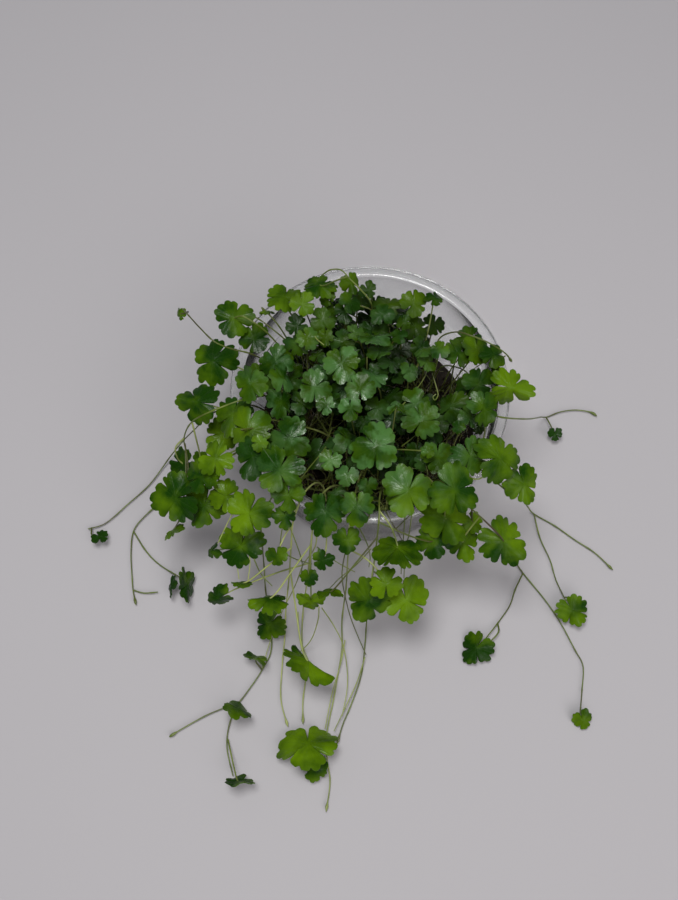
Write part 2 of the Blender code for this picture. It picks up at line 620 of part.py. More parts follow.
def path_frames(points):
    """Return unit tangents and a pair of side vectors carried along a path untwisted."""
    ahead = np.gradient(points, axis=0)
    ahead /= np.linalg.norm(ahead, axis=1)[:, None]
    across = np.cross(ahead[0], SIDE_HINT)
    frames = []
    for tangent in ahead:
        across = across - tangent * across.dot(tangent)
        across /= np.linalg.norm(across)
        frames.append((across.copy(), np.cross(tangent, across)))
    return frames


def add_rings(mesh, points, radii):
    """Add a tube's rings of vertices and its side faces to a mesh, and return the rings."""
    rings = []
    for point, radius, (across, other) in zip(points, radii, path_frames(points)):
        turns = [2 * pi * k / TUBE_SIDES for k in range(TUBE_SIDES)]
        around = [across * cos(turn) + other * sin(turn) for turn in turns]
        rings.append([mesh.verts.new((point + radius * away) * MM) for away in around])
    for low, high in zip(rings, rings[1:]):
        add_band(mesh, low, high)
    return rings


def add_band(mesh, low, high):
    """Join two rings of as many vertices with triangles."""
    for k in range(len(low)):
        after = (k + 1) % len(low)
        mesh.faces.new((low[k], low[after], high[after]))
        mesh.faces.new((low[k], high[after], high[k]))


def finish_object(name, mesh):
    """Turn a bmesh into an object in the scene."""
    bmesh.ops.recalc_face_normals(mesh, faces=mesh.faces)
    data = bpy.data.meshes.new(name)
    mesh.to_mesh(data)
    mesh.free()
    obj = bpy.data.objects.new(name, data)
    bpy.context.scene.collection.objects.link(obj)
    return obj


def make_tube(name, points, radius, bud=False):
    """Make a closed tube along a path, swollen at its far end where it bears a bud."""
    radii = np.full(len(points), radius)
    if bud:
        back = points[-2] - points[-1]
        swelling = points[-1] + back * BUD_LENGTH / np.linalg.norm(back)
        points = np.vstack((points[:-1], [swelling, points[-1]]))
        radii = np.append(radii[:-1], (radius * BUD_SWELL, radius * BUD_TIP))
    mesh = bmesh.new()
    rings = add_rings(mesh, points, radii)
    mesh.faces.new(rings[0][::-1])
    mesh.faces.new(rings[-1])
    return finish_object(name, mesh)


def make_leaf(name, blade, way):
    """Make one closed shell of a stalk that widens into the underside of a leaf's blade."""
    mesh = bmesh.new()
    rings = add_rings(mesh, way[:-1], np.full(len(way) - 1, STALK_RADIUS))

    across = np.array(rings[-1][0].co) / MM - way[-2]
    first = atan2(across.dot(blade.side), across.dot(blade.middle))
    turns = [first + 2 * pi * k / TUBE_SIDES for k in range(TUBE_SIDES)]
    half = BLADE_THICKNESS / 2
    neck = [mesh.verts.new(blade.place(np.array([STALK_RADIUS * cos(turn)]),
                                       np.array([STALK_RADIUS * sin(turn)]), -half)[0] * MM)
            for turn in turns]
    add_band(mesh, rings[-1], neck)
    mesh.faces.new(rings[0][::-1])

    ahead = blade.reach * np.cos(blade.angles)
    aside = blade.reach * np.sin(blade.angles)
    under = [mesh.verts.new(point * MM) for point in blade.place(ahead, aside, -half)]
    upper = [mesh.verts.new(point * MM) for point in blade.place(ahead, aside, half)]
    centre = mesh.verts.new(blade.place(np.zeros(1), np.zeros(1), half)[0] * MM)
    add_band(mesh, under, upper)
    for k in range(len(upper)):
        mesh.faces.new((centre, upper[k], upper[(k + 1) % len(upper)]))

    def nearest(angle):
        return max(range(TUBE_SIDES), key=lambda k: cos(angle - turns[k]))

    middles = [angle + (after - angle) % (2 * pi) / 2
               for angle, after in zip(blade.angles, np.roll(blade.angles, -1))]
    for k, middle in enumerate(middles):
        here = nearest(middle)
        mesh.faces.new((neck[here], under[(k + 1) % len(under)], under[k]))
        before = nearest(middles[k - 1])
        if before != here:
            mesh.faces.new((neck[before], neck[here], under[k]))
    return finish_object(name, mesh)


def fuse(name, body, growths, material):
    """Join what grows from a stem to the stem, as one closed solid."""
    for growth in growths:
        union = body.modifiers.new("Grown together", "BOOLEAN")
        union.operation = "UNION"
        union.solver = "EXACT"
        union.object = growth
    graph = bpy.context.evaluated_depsgraph_get()
    data = bpy.data.meshes.new_from_object(body.evaluated_get(graph))
    data.name = name
    for piece in [body] + growths:
        bpy.data.objects.remove(piece)
    data.materials.clear()
    data.materials.append(material)
    obj = bpy.data.objects.new(name, data)
    bpy.context.scene.collection.objects.link(obj)
    return obj


def make_stem(stem, material):
    """Make one stem with its side branches, leaf stalks and leaves."""
    trailing = not stem.name.startswith("creeping")
    tip = stem.axis[-1]
    bud = trailing and not any(np.linalg.norm(blade.origin - tip) < TIP_CLEARANCE
                               for blade, _ in stem.stalks)
    radius = TRAIL_RADIUS if trailing else RUNNER_RADIUS
    body = make_tube(stem.name + "_body", stem.axis, radius, bud)
    growths = [make_tube(stem.name + "_branch", branch, STALK_RADIUS) for branch in stem.branches]
    growths += [make_leaf(stem.name + "_leaf", blade, way) for blade, way in stem.stalks]
    return fuse(stem.name, body, growths, material)


# The angle in degrees from which an edge of a turned body is shown sharp
SHARP_ANGLE = 30


def turn_profile(name, profile, segments, material):
    """Make a closed solid by turning a profile of radius and height about Z."""
    mesh = bmesh.new()
    rings = []
    for radius, height in profile:
        if radius == 0:
            rings.append([mesh.verts.new((0, 0, height * MM))])
            continue
        rings.append([mesh.verts.new((radius * cos(2 * pi * k / segments) * MM,
                                      radius * sin(2 * pi * k / segments) * MM, height * MM))
                      for k in range(segments)])
    for low, high in zip(rings, rings[1:]):
        if len(low) > 1 and len(high) > 1:
            add_band(mesh, low, high)
            continue
        centre, ring = (low[0], high) if len(low) == 1 else (high[0], low)
        for k in range(segments):
            mesh.faces.new((centre, ring[k], ring[(k + 1) % segments]))
    obj = finish_object(name, mesh)
    obj.data.materials.append(material)
    obj.data.shade_smooth()
    obj.data.set_sharp_from_angle(angle=radians(SHARP_ANGLE))
    return obj


def make_jar(material):
    """Make the jar's wall, its stacking step, rolled lip and flat floor."""
    lip_inner = LIP_RADIUS - LIP_WIDTH
    shoulder = JAR_HEIGHT - LIP_DROP
    inside_base = BASE_RADIUS - WALL
    step_inner = STEP_RADIUS - WALL
    profile = (
        (0, 0), (BASE_RADIUS - FOOT_ROUND, 0), (BASE_RADIUS, FOOT_ROUND),
        (STEP_RADIUS, STEP_HEIGHT), (STEP_RADIUS + STEP_DEPTH, STEP_HEIGHT + STEP_SLOPE),
        (lip_inner - 0.2, shoulder), (LIP_RADIUS, shoulder + 0.6),
        (LIP_RADIUS, JAR_HEIGHT - RIM_ROUND), (LIP_RADIUS - RIM_ROUND, JAR_HEIGHT),
        (lip_inner, JAR_HEIGHT), (lip_inner - WALL, JAR_HEIGHT - 1.0),
        (step_inner + STEP_DEPTH, STEP_HEIGHT + STEP_SLOPE + 0.4), (step_inner, STEP_HEIGHT + 0.4),
        (inside_base, FLOOR), (0, FLOOR),
    )
    return turn_profile("jar", profile, JAR_SEGMENTS, material)


def make_soil(material):
    """Make the shallow layer of soil with its low lumps."""
    wall_share = (SOIL_TOP - FLOOR) / (STEP_HEIGHT - FLOOR)
    inside_base = BASE_RADIUS - WALL - GAP
    inside_top = inside_base + (STEP_RADIUS - BASE_RADIUS) * wall_share * SOIL_FIT
    bottom = FLOOR + GAP
    profile = ((0, bottom), (inside_base - SOIL_EDGE, bottom),
               (inside_base - SOIL_EDGE_RISE, bottom + SOIL_EDGE - 0.1),
               (inside_top - SOIL_RIM_DROP, SOIL_TOP), *((radius, SOIL_TOP) for radius in SOIL_RINGS),
               (0, SOIL_TOP))
    soil = turn_profile("soil", profile, SOIL_SEGMENTS, material)
    for vertex in soil.data.vertices:
        x, y, z = vertex.co / MM
        if z > SOIL_TOP - 0.1:
            wave = sin(x * SOIL_WAVE[0]) * cos(y * SOIL_WAVE[1]) - SOIL_SINK
            vertex.co.z += SOIL_LUMP * MM * wave / (1 + SOIL_SINK)
    return soil


def make_material(name, colour, roughness, alpha=1.0, transmission=0.0):
    """Make a plain material of one colour."""
    material = bpy.data.materials.new(name)
    material.use_nodes = True
    shader = material.node_tree.nodes["Principled BSDF"]
    shader.inputs["Base Color"].default_value = (*colour, 1.0)
    shader.inputs["Roughness"].default_value = roughness
    shader.inputs["Metallic"].default_value = 0.0
    shader.inputs["Alpha"].default_value = alpha
    shader.inputs["Transmission Weight"].default_value = transmission
    return material


def main():
    """Build the whole part in an empty scene."""
    for obj in list(bpy.data.objects):
        bpy.data.objects.remove(obj)
    clear_plastic = make_material("Clear plastic", PLASTIC_COLOUR, 0.08, 0.35, 0.9)
    dark_soil = make_material("Dark soil", SOIL_COLOUR, 0.95)
    creeping_green = make_material("Creeping stem and leaf green", CREEPING_COLOUR, 0.42)
    trailing_green = make_material("Trailing stem and leaf green", TRAILING_COLOUR, 0.45)
    make_jar(clear_plastic)
    make_soil(dark_soil)
    for stem in plan_plant():
        make_stem(stem, creeping_green if stem.name.startswith("creeping") else trailing_green)


main()
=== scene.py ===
"""Hydrocotyle tripartita overflowing a clear plastic jar, dressed over its packed model.

The layout is worked out in millimetres, as stalks and leaves are that small, and becomes metres
when a mesh is made. Leaves and trailing stems are placed by where they are seen from one fixed
viewpoint and by their height above the table, so each one lands on its own solid.
"""

from collections import namedtuple
from functools import lru_cache
from math import atan2, cos, degrees, exp, hypot, pi, radians, sin
from random import Random

import bpy
import numpy as np
from bpy.props import FloatProperty, FloatVectorProperty, IntProperty, PointerProperty
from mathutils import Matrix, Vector, noise


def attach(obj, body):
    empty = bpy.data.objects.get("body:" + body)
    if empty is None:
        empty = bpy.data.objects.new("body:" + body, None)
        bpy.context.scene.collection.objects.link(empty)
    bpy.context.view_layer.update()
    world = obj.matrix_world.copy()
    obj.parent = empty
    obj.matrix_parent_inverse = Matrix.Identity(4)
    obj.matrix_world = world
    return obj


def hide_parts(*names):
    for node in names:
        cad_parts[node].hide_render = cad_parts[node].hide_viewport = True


bl_info = {
    "name": "Pennywort in a clear jar",
    "version": (1, 0, 0),
    "blender": (4, 5, 0),
    "location": "View3D > Sidebar > Jar Plant",
    "description": "Builds a jar of three-lobed pennywort around its packed model",
    "category": "Add Mesh",
}

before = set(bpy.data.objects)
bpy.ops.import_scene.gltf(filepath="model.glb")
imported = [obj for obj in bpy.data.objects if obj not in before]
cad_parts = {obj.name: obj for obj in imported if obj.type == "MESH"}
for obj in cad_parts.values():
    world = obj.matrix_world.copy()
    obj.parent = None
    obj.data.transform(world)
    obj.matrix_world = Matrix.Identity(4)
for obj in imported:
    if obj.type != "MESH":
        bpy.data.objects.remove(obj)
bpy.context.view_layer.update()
BODY = "root"
MM = 0.001

# The viewpoint that the layout is read from, in mm, and its picture in pixels
VIEW_FROM = np.array((-11.72, -171.33, 436.77))
VIEW_DOWN = 68.99
VIEW_FOCAL = 1100.0
VIEW_CENTRE = (339.0, 450.0)

# Jar, in mm
JAR_HEIGHT = 56.0
LIP_RADIUS = 53.0
LIP_WIDTH = 3.6
LIP_DROP = 4.2
BASE_RADIUS = 44.0
STEP_HEIGHT = 39.0
STEP_RADIUS = 47.4
STEP_DEPTH = 0.8
WALL = 0.9
FLOOR = 1.4

# Soil, in mm
SOIL_TOP = 14.0
SOIL_LUMP = 0.7
GAP = 0.3

# Stems, stalks and leaves, in mm
RUNNER_RADIUS = 0.8
RUNNER_HEIGHT = SOIL_TOP + SOIL_LUMP + GAP + RUNNER_RADIUS
STALK_RADIUS = 0.6
BLADE_THICKNESS = 0.6
BLADE_DISH = -0.10
SMALL_LEAF = 12.5
ROW_SPACING = 9.0
ROW_WAVE = 1.2
ROW_REACH = 37.0
RUNNER_LENGTH = 19.0
RUNNER_SPACE = 5.0
STATION_STEP = 2.4
RUNNER_POINTS = 5
ROW_WAVE_LENGTH = 6.0
OVER_INSET = 1.5
TIP_CLEARANCE = 12.0

# Room that is kept between neighbours while the layout settles, in mm
BLADE_REACH = 1.75
STALK_REACH = 1.95
CLOSE_SHARE = 0.8
JAR_ROOM = 1.1
TABLE_ROOM = 0.4
END_STRETCH = 3.0
CROWDING = 2.0
HIGH_REACH = 8.0
CELL = 0.6
SEARCH_CELLS = 4
DENSE_STEP = 0.8
EDGE_STEP = 6
EDGE_RINGS = 7
ROOM_LOW = (-118.0, -175.0, -4.0)
ROOM_HIGH = (122.0, 80.0, 96.0)

# A leaf's blade is three lobes around the point where its stalk meets it: angle from the
# middle lobe, and distance from the stalk as a share of the blade's radius
LARGE_OUTLINE = ((-138, 0.84), (-98, 1.00), (-66, 0.88), (-46, 0.60), (-20, 1.00),
                 (20, 1.00), (46, 0.60), (66, 0.88), (98, 1.00), (138, 0.84), (180, 0.22))
SMALL_OUTLINE = ((-130, 0.84), (-86, 1.00), (-46, 0.62), (-16, 1.00), (16, 1.00),
                 (46, 0.62), (86, 1.00), (130, 0.84), (180, 0.24))
SINUS_RADIUS = 1.15

# Where a leaf is seen, its height and width in mm, how far and which way its face leans,
# which way its middle lobe points and how far its sides fold down, in degrees.
# 0 is to the right, 90 away from the viewer, 180 to the left and 270 to the viewer
Leaf = namedtuple("Leaf", "seen_x seen_y height width lean toward spin fold")

CANOPY = (
    # Back left
    Leaf(233, 318, 66, 15, 15, 300, 20, 10), Leaf(213, 361, 63, 19, 22, 220, 10, 8),
    Leaf(266, 311, 60, 6, 65, 90, 0, 0), Leaf(254, 339, 58, 12, 20, 250, 60, 0),
    Leaf(250, 383, 66, 13, 30, 240, 250, 12), Leaf(276, 361, 61, 13, 20, 250, 80, 8),
    Leaf(283, 378, 70, 12, 45, 10, 90, 8), Leaf(281, 402, 66, 12, 40, 350, 270, 8),
    Leaf(285, 297, 66, 14, 15, 60, 130, 0), Leaf(302, 304, 68, 10, 25, 300, 60, 0),
    Leaf(297, 326, 59, 9, 20, 250, 200, 0), Leaf(307, 338, 65, 9, 20, 280, 300, 0),
    # Back
    Leaf(358, 300, 52, 10, 20, 20, 0, 0), Leaf(345, 312, 57, 9, 15, 270, 150, 0),
    Leaf(325, 337, 60, 7, 25, 270, 270, 0), Leaf(398, 318, 56, 6, 20, 90, 60, 0),
    Leaf(413, 304, 60, 11, 20, 300, 45, 0), Leaf(415, 327, 52, 11, 20, 330, 320, 0),
    Leaf(375, 337, 66, 13, 44, 90, 180, 0), Leaf(342, 363, 69, 14, 18, 270, 280, 8),
    Leaf(315, 387, 64, 13, 15, 315, 220, 0), Leaf(410, 371, 61, 8, 30, 0, 270, 0),
    Leaf(420, 347, 56, 8, 20, 270, 100, 0),
    # Back right
    Leaf(440, 350, 59, 7, 20, 270, 90, 0), Leaf(458, 353, 66, 12, 25, 0, 80, 8),
    Leaf(476, 350, 57, 12, 30, 0, 270, 0), Leaf(493, 355, 63, 10, 15, 0, 60, 0),
    Leaf(511, 388, 60, 18, 36, 290, 345, 28),
    # Left
    Leaf(197, 402, 60, 17, 22, 210, 170, 25), Leaf(233, 414, 66, 16, 25, 200, 250, 10),
    Leaf(222, 434, 55, 14, 15, 240, 230, 0), Leaf(249, 430, 60, 17, 25, 220, 120, 10),
    Leaf(253, 456, 52, 16, 25, 230, 250, 10), Leaf(259, 443, 71, 6, 15, 270, 0, 0),
    Leaf(216, 458, 64, 14, 22, 230, 210, 8), Leaf(201, 477, 56, 13, 28, 220, 240, 0),
    Leaf(290, 438, 66, 15, 20, 250, 190, 8), Leaf(279, 470, 61, 17, 20, 250, 240, 8),
    # Centre
    Leaf(326, 405, 72, 7, 15, 270, 280, 0), Leaf(360, 388, 66, 11, 15, 270, 90, 0),
    Leaf(350, 408, 73, 9, 18, 270, 270, 0), Leaf(345, 388, 57, 10, 15, 200, 160, 0),
    Leaf(377, 408, 56, 10, 15, 0, 20, 0), Leaf(396, 405, 74, 8, 40, 90, 90, 35),
    Leaf(376, 446, 77, 17, 14, 280, 318, 10), Leaf(330, 460, 71, 8, 15, 270, 250, 0),
    Leaf(347, 476, 68, 8, 20, 240, 250, 0), Leaf(368, 486, 66, 7, 20, 270, 270, 0),
    Leaf(343, 440, 55, 12, 15, 90, 100, 0), Leaf(421, 421, 66, 14, 25, 270, 60, 8),
    # Right
    Leaf(470, 417, 62, 9, 25, 0, 80, 0), Leaf(484, 408, 55, 13, 25, 330, 40, 0),
    Leaf(438, 457, 64, 13, 22, 0, 270, 0), Leaf(428, 451, 71, 5, 20, 270, 200, 0),
    Leaf(470, 456, 60, 14, 22, 300, 300, 8), Leaf(458, 427, 67, 5, 15, 270, 0, 0),
    Leaf(499, 458, 62, 18, 25, 330, 10, 12), Leaf(524, 484, 56, 15, 28, 330, 300, 8),
    # Front left
    Leaf(176, 498, 50, 20, 28, 220, 190, 12), Leaf(204, 506, 45, 17, 25, 250, 250, 10),
    Leaf(226, 496, 50, 13, 25, 240, 200, 0),
    Leaf(249, 513, 62, 17, 25, 250, 240, 10), Leaf(241, 546, 48, 17, 30, 255, 250, 10),
    Leaf(212, 551, 40, 7, 50, 200, 200, 35), Leaf(289, 495, 68, 12, 20, 250, 270, 0),
    Leaf(285, 516, 59, 9, 20, 300, 280, 0), Leaf(277, 556, 51, 8, 40, 260, 270, 0),
    Leaf(243, 583, 37, 8, 60, 90, 180, 0), Leaf(218, 598, 30, 11, 45, 240, 210, 40),
    Leaf(270, 598, 38, 15, 48, 90, 190, 10), Leaf(173, 530, 36, 9, 58, 135, 225, 0),
    # Front
    Leaf(325, 512, 66, 16, 15, 270, 265, 8), Leaf(357, 507, 71, 13, 22, 270, 270, 8),
    Leaf(347, 540, 60, 10, 30, 270, 270, 0), Leaf(323, 560, 53, 8, 35, 270, 250, 0),
    Leaf(309, 577, 46, 7, 40, 260, 270, 0), Leaf(311, 601, 37, 11, 70, 270, 270, 0),
    Leaf(330, 592, 44, 9, 55, 90, 90, 0), Leaf(408, 491, 71, 18, 20, 290, 250, 10),
    Leaf(397, 548, 57, 19, 38, 90, 270, 10), Leaf(368, 600, 41, 17, 35, 260, 250, 12),
    Leaf(406, 600, 37, 18, 25, 290, 290, 10), Leaf(386, 584, 48, 12, 20, 270, 90, 0),
    # Front right
    Leaf(455, 490, 65, 19, 25, 330, 330, 8), Leaf(446, 519, 57, 19, 22, 290, 300, 8),
    Leaf(473, 522, 50, 8, 20, 300, 300, 0), Leaf(463, 542, 50, 14, 28, 290, 290, 8),
    Leaf(433, 541, 47, 13, 30, 270, 280, 0), Leaf(503, 540, 52, 19, 18, 300, 315, 10),
)

# A stem that leaves the soil's bed: where its root is in mm, the azimuth and the lift at which
# it crosses the jar's lip if it does, then the points where it is seen, each with its height,
# its side branches and the leaves that grow from it
Trail = namedtuple("Trail", "name root over route branches leaves")

TRAILS = (
    Trail("trailing_stem_left_long", (-36, -4.5), (190, 4.5),
          ((209, 415, 54), (196, 428, 36), (183, 441, 16), (170, 457, 4), (150, 484, 1.4),
           (128, 504, 1.4), (106, 523, 1.4), (88, 529, 1.6)), (),
          (Leaf(100, 537, 5, 7, 25, 90, 315, 0),)),
    Trail("trailing_stem_left_short", (-34, 4.5), (194, 15),
          ((203, 415, 66), (190, 424, 58), (184, 438, 50), (186, 452, 43)), (),
          (Leaf(183, 464, 38, 12, 35, 220, 200, 8), Leaf(200, 458, 45, 6, 30, 250, 270, 0))),
    Trail("trailing_stem_far_left", (-32, -13.5), (209, 4.5),
          ((216, 466, 54), (205, 474, 36), (194, 484, 18), (180, 494, 4), (160, 504, 1.4),
           (147, 514, 1.4), (134, 530, 1.4), (131, 552, 1.4), (132, 576, 1.4), (133, 590, 1.4),
           (136, 605, 1.6)),
          (((134, 532, 1.4), (146, 551, 1.4), (160, 565, 1.4), (183, 579, 2.5)),
           ((133, 590, 1.4), (144, 593, 1.4), (158, 592, 2.0))),
          (Leaf(187, 584, 7, 14, 72, 0, 270, 0), Leaf(171, 586, 6, 9, 66, 180, 270, 0))),
    Trail("young_shoot_left", (-34, 13.5), (170, 15),
          ((215, 342, 76), (201, 329, 75), (190, 317, 71), (183, 309, 66)), (),
          (Leaf(180, 314, 60, 5, 40, 240, 260, 30),)),
    Trail("arching_stem_back", (4, 31.5), None,
          ((371, 303, 62), (360, 289, 70), (350, 279, 73), (341, 270, 74), (330, 270, 71),
           (322, 275, 66)), (),
          (Leaf(320, 285, 61, 13, 15, 90, 225, 5),)),
    Trail("arching_stem_right", (26, 13.5), None,
          ((439, 339, 66), (455, 332, 76), (472, 336, 79), (489, 343, 77), (505, 353, 71),
           (512, 362, 65)), (), ()),
    Trail("trailing_stem_right", (34, -4.5), (342, 9),
          ((526, 419, 50), (536, 418, 28), (541, 417, 9), (547, 417, 1.6), (560, 412, 1.4),
           (575, 410, 1.4), (590, 412, 1.4), (597, 416, 1.6)), (),
          (Leaf(555, 434, 5, 6, 20, 270, 270, 0),)),
    Trail("trailing_stem_front_right", (30, -22.5), (319, 5),
          ((507, 491, 58), (518, 497, 42), (524, 502, 22), (528, 507, 7), (534, 514, 1.6),
           (555, 526, 1.4), (575, 540, 1.4), (595, 553, 1.4), (613, 570, 1.6)),
          (((534, 514, 1.6), (540, 538, 1.4), (550, 560, 1.4), (556, 580, 1.4),
            (566, 601, 3.0)),),
          (Leaf(572, 610, 5, 13, 20, 270, 300, 0),)),
    Trail("trailing_stem_front_right_long", (21, -31.5), (304, 4.5),
          ((484, 520, 58), (497, 534, 42), (504, 545, 20), (512, 557, 5), (523, 573, 1.4),
           (545, 600, 1.4), (560, 622, 1.4), (575, 650, 1.4), (583, 666, 1.4), (582, 690, 1.4),
           (580, 714, 1.8)),
          (((523, 573, 1.4), (515, 590, 1.4), (510, 605, 1.4), (500, 620, 1.4),
            (486, 638, 2.5)),),
          (Leaf(583, 720, 4, 8, 30, 270, 290, 20), Leaf(476, 648, 5, 14, 25, 200, 225, 20))),
    Trail("trailing_stem_front_left", (-24, -22.5), (231, 5),
          ((262, 515, 58), (262, 540, 44), (264, 566, 22), (266, 594, 5), (271, 625, 1.4),
           (271, 651, 1.4), (262, 670, 1.4), (250, 688, 1.4), (237, 704, 1.4), (224, 708, 1.4),
           (205, 716, 1.4), (180, 730, 1.4), (169, 737, 1.6)),
          (((237, 704, 1.4), (229, 726, 1.4), (227, 748, 1.4), (233, 776, 2.0)),),
          (Leaf(270, 624, 9, 13, 30, 240, 230, 10), Leaf(238, 709, 6, 12, 62, 60, 330, 0),
           Leaf(238, 781, 5, 11, 68, 90, 0, 0), Leaf(256, 658, 6, 10, 66, 70, 160, 0))),
    Trail("trailing_stem_front_pale", (-17, -31.5), (241, 5),
          ((293, 522, 57), (291, 548, 45), (289, 578, 24), (286, 608, 6), (285, 634, 1.4),
           (282, 668, 1.4), (281, 700, 1.4), (288, 727, 1.6)), (),
          (Leaf(308, 661, 6, 22, 64, 50, 315, 20),)),
    Trail("trailing_stem_front_thin", (-9, -31.5), (247.5, 5),
          ((313, 526, 57), (310, 552, 44), (307, 582, 22), (303, 612, 4), (302, 642, 1.4),
           (306, 672, 1.4), (303, 700, 1.4), (303, 724, 1.6)), (), ()),
    Trail("trailing_stem_front_long", (-2, -22.5), (262, 5),
          ((351, 528, 57), (348, 556, 44), (346, 588, 20), (342, 620, 3.5), (342, 648, 1.4),
           (338, 674, 1.4), (333, 702, 1.4), (327, 732, 1.4), (327, 758, 1.4), (330, 782, 1.4),
           (326, 812, 1.6)), (),
          (Leaf(308, 744, 8, 22, 36, 95, 275, 15),
           Leaf(316, 770, 5, 10, 25, 270, 250, 10))),
    Trail("trailing_stem_front_bare", (6, -31.5), (273, 5),
          ((378, 530, 57), (375, 556, 45), (371, 588, 24), (367, 618, 7), (365, 644, 1.4),
           (361, 676, 1.4), (351, 705, 1.4), (343, 724, 1.4), (337, 744, 1.6)), (), ()),
)

HEIGHT_TRIES = (0, 2, -2, 4, -4, 6, -6, 8, -8, 10, -10, 12, -12, 14, -14, 17, -17, 20)
BOW_TRIES = ((0, 0),) + tuple((size, 45 * turn) for size in (5, 10) for turn in range(8))
LIFT_TRIES = (3.0, 5.0, 7.0, 9.5, 12.0, 15.0)
SWING_TRIES = (0, 5, -5, 10, -10, 16, -16, 24, -24)

# A hanging leaf's stalk: its length, how far it drops, below what height a leaf lies instead, and
# how long a lying leaf's stalk is
STALK_SPAN = 17.0
STALK_DROP = 9.0
LYING_HEIGHT = 12.0
LYING_SPAN = STALK_SPAN / 4

# Curves: how far the handles pull, as a share of the rise or of the blade's radius, or in mm,
# and in how many steps a curve runs
ROOT_PULL = 0.4
ROUTE_PULL = 0.3
RISING_PULL = 0.2
INNER_PULL = 0.6
LIP_PULL = 9.0
ARCH_PULL = 8.0
BLADE_PULL = 0.5
LEAST_BLADE_PULL = 3.0
HANGING_PULL = 0.35
LEAST_HANGING_PULL = 1.5
HANGING_RISE = 1.5
HANGING_LEAD = 0.3
HANGING_BOW = (0.6, 0.3)
CURVE_STEPS = 3
INNER_STEPS = 5

# Which stems a leaf may grow from, nearest first, and from how many places on each
RISING_STEMS = 9
HANGING_STEMS = 4
RISING_STARTS = 6
HANGING_STARTS = 10
ARCHING_STARTS = 3
ROOT_SHARE = 0.72
INSIDE_ROOM = 4.0
OWN_STATION = 0.6
FAR = 999.0

# Fine bare stems that cross one another below the canopy: how far they reach, rise and bow in
# mm, how far their handles pull as a share of the rise, and how brown they are
TANGLE_STEMS = 420
TANGLE_REACH = (8.0, 24.0)
TANGLE_RISE = (4.0, 30.0)
TANGLE_BOW = (2, 7)
TANGLE_PULL = (0.7, 1.1)
TANGLE_STEPS = 12
TANGLE_MARGIN = 0.5
TANGLE_TONES = (0.0, 0.35)
TANGLE_SEED = 4

# Small leaves below the canopy, in mm and degrees
UNDERSTORY_TRIES = 1800
UNDERSTORY_WIDTHS = (6.5, 13.0)
UNDERSTORY_REACH = 47.0
UNDERSTORY_HEIGHTS = (24.0, 64.0)
UNDERSTORY_LEANS = (5, 40)
UNDERSTORY_FOLDS = (0, 8, 20)
UNDERSTORY_STEMS = 5
UNDERSTORY_ROOM = 0.7 * BLADE_REACH
UNDERSTORY_SEED = 11
GOLDEN_ANGLE = 137.508

# What stays free of fine growth: an open space between the plant and the jar's wall, by its low
# and its high corner in mm, and dark gaps, by the pixel they are seen at and their reach
OPEN_SPACE = ((25.6, 18.5, 22.0), (33.5, 27.5, 58.0))
OPEN_MARGIN = 4.0
DARK_GAPS = ((312, 427, 15), (338, 426, 15), (327, 440, 10), (405, 385, 13), (430, 385, 15),
             (452, 383, 14), (440, 405, 10))

# Fine side stems and young shoots: the stem they belong to, their tone, and the points where
# they are seen with their heights
Shoot = namedtuple("Shoot", "stem tone route")

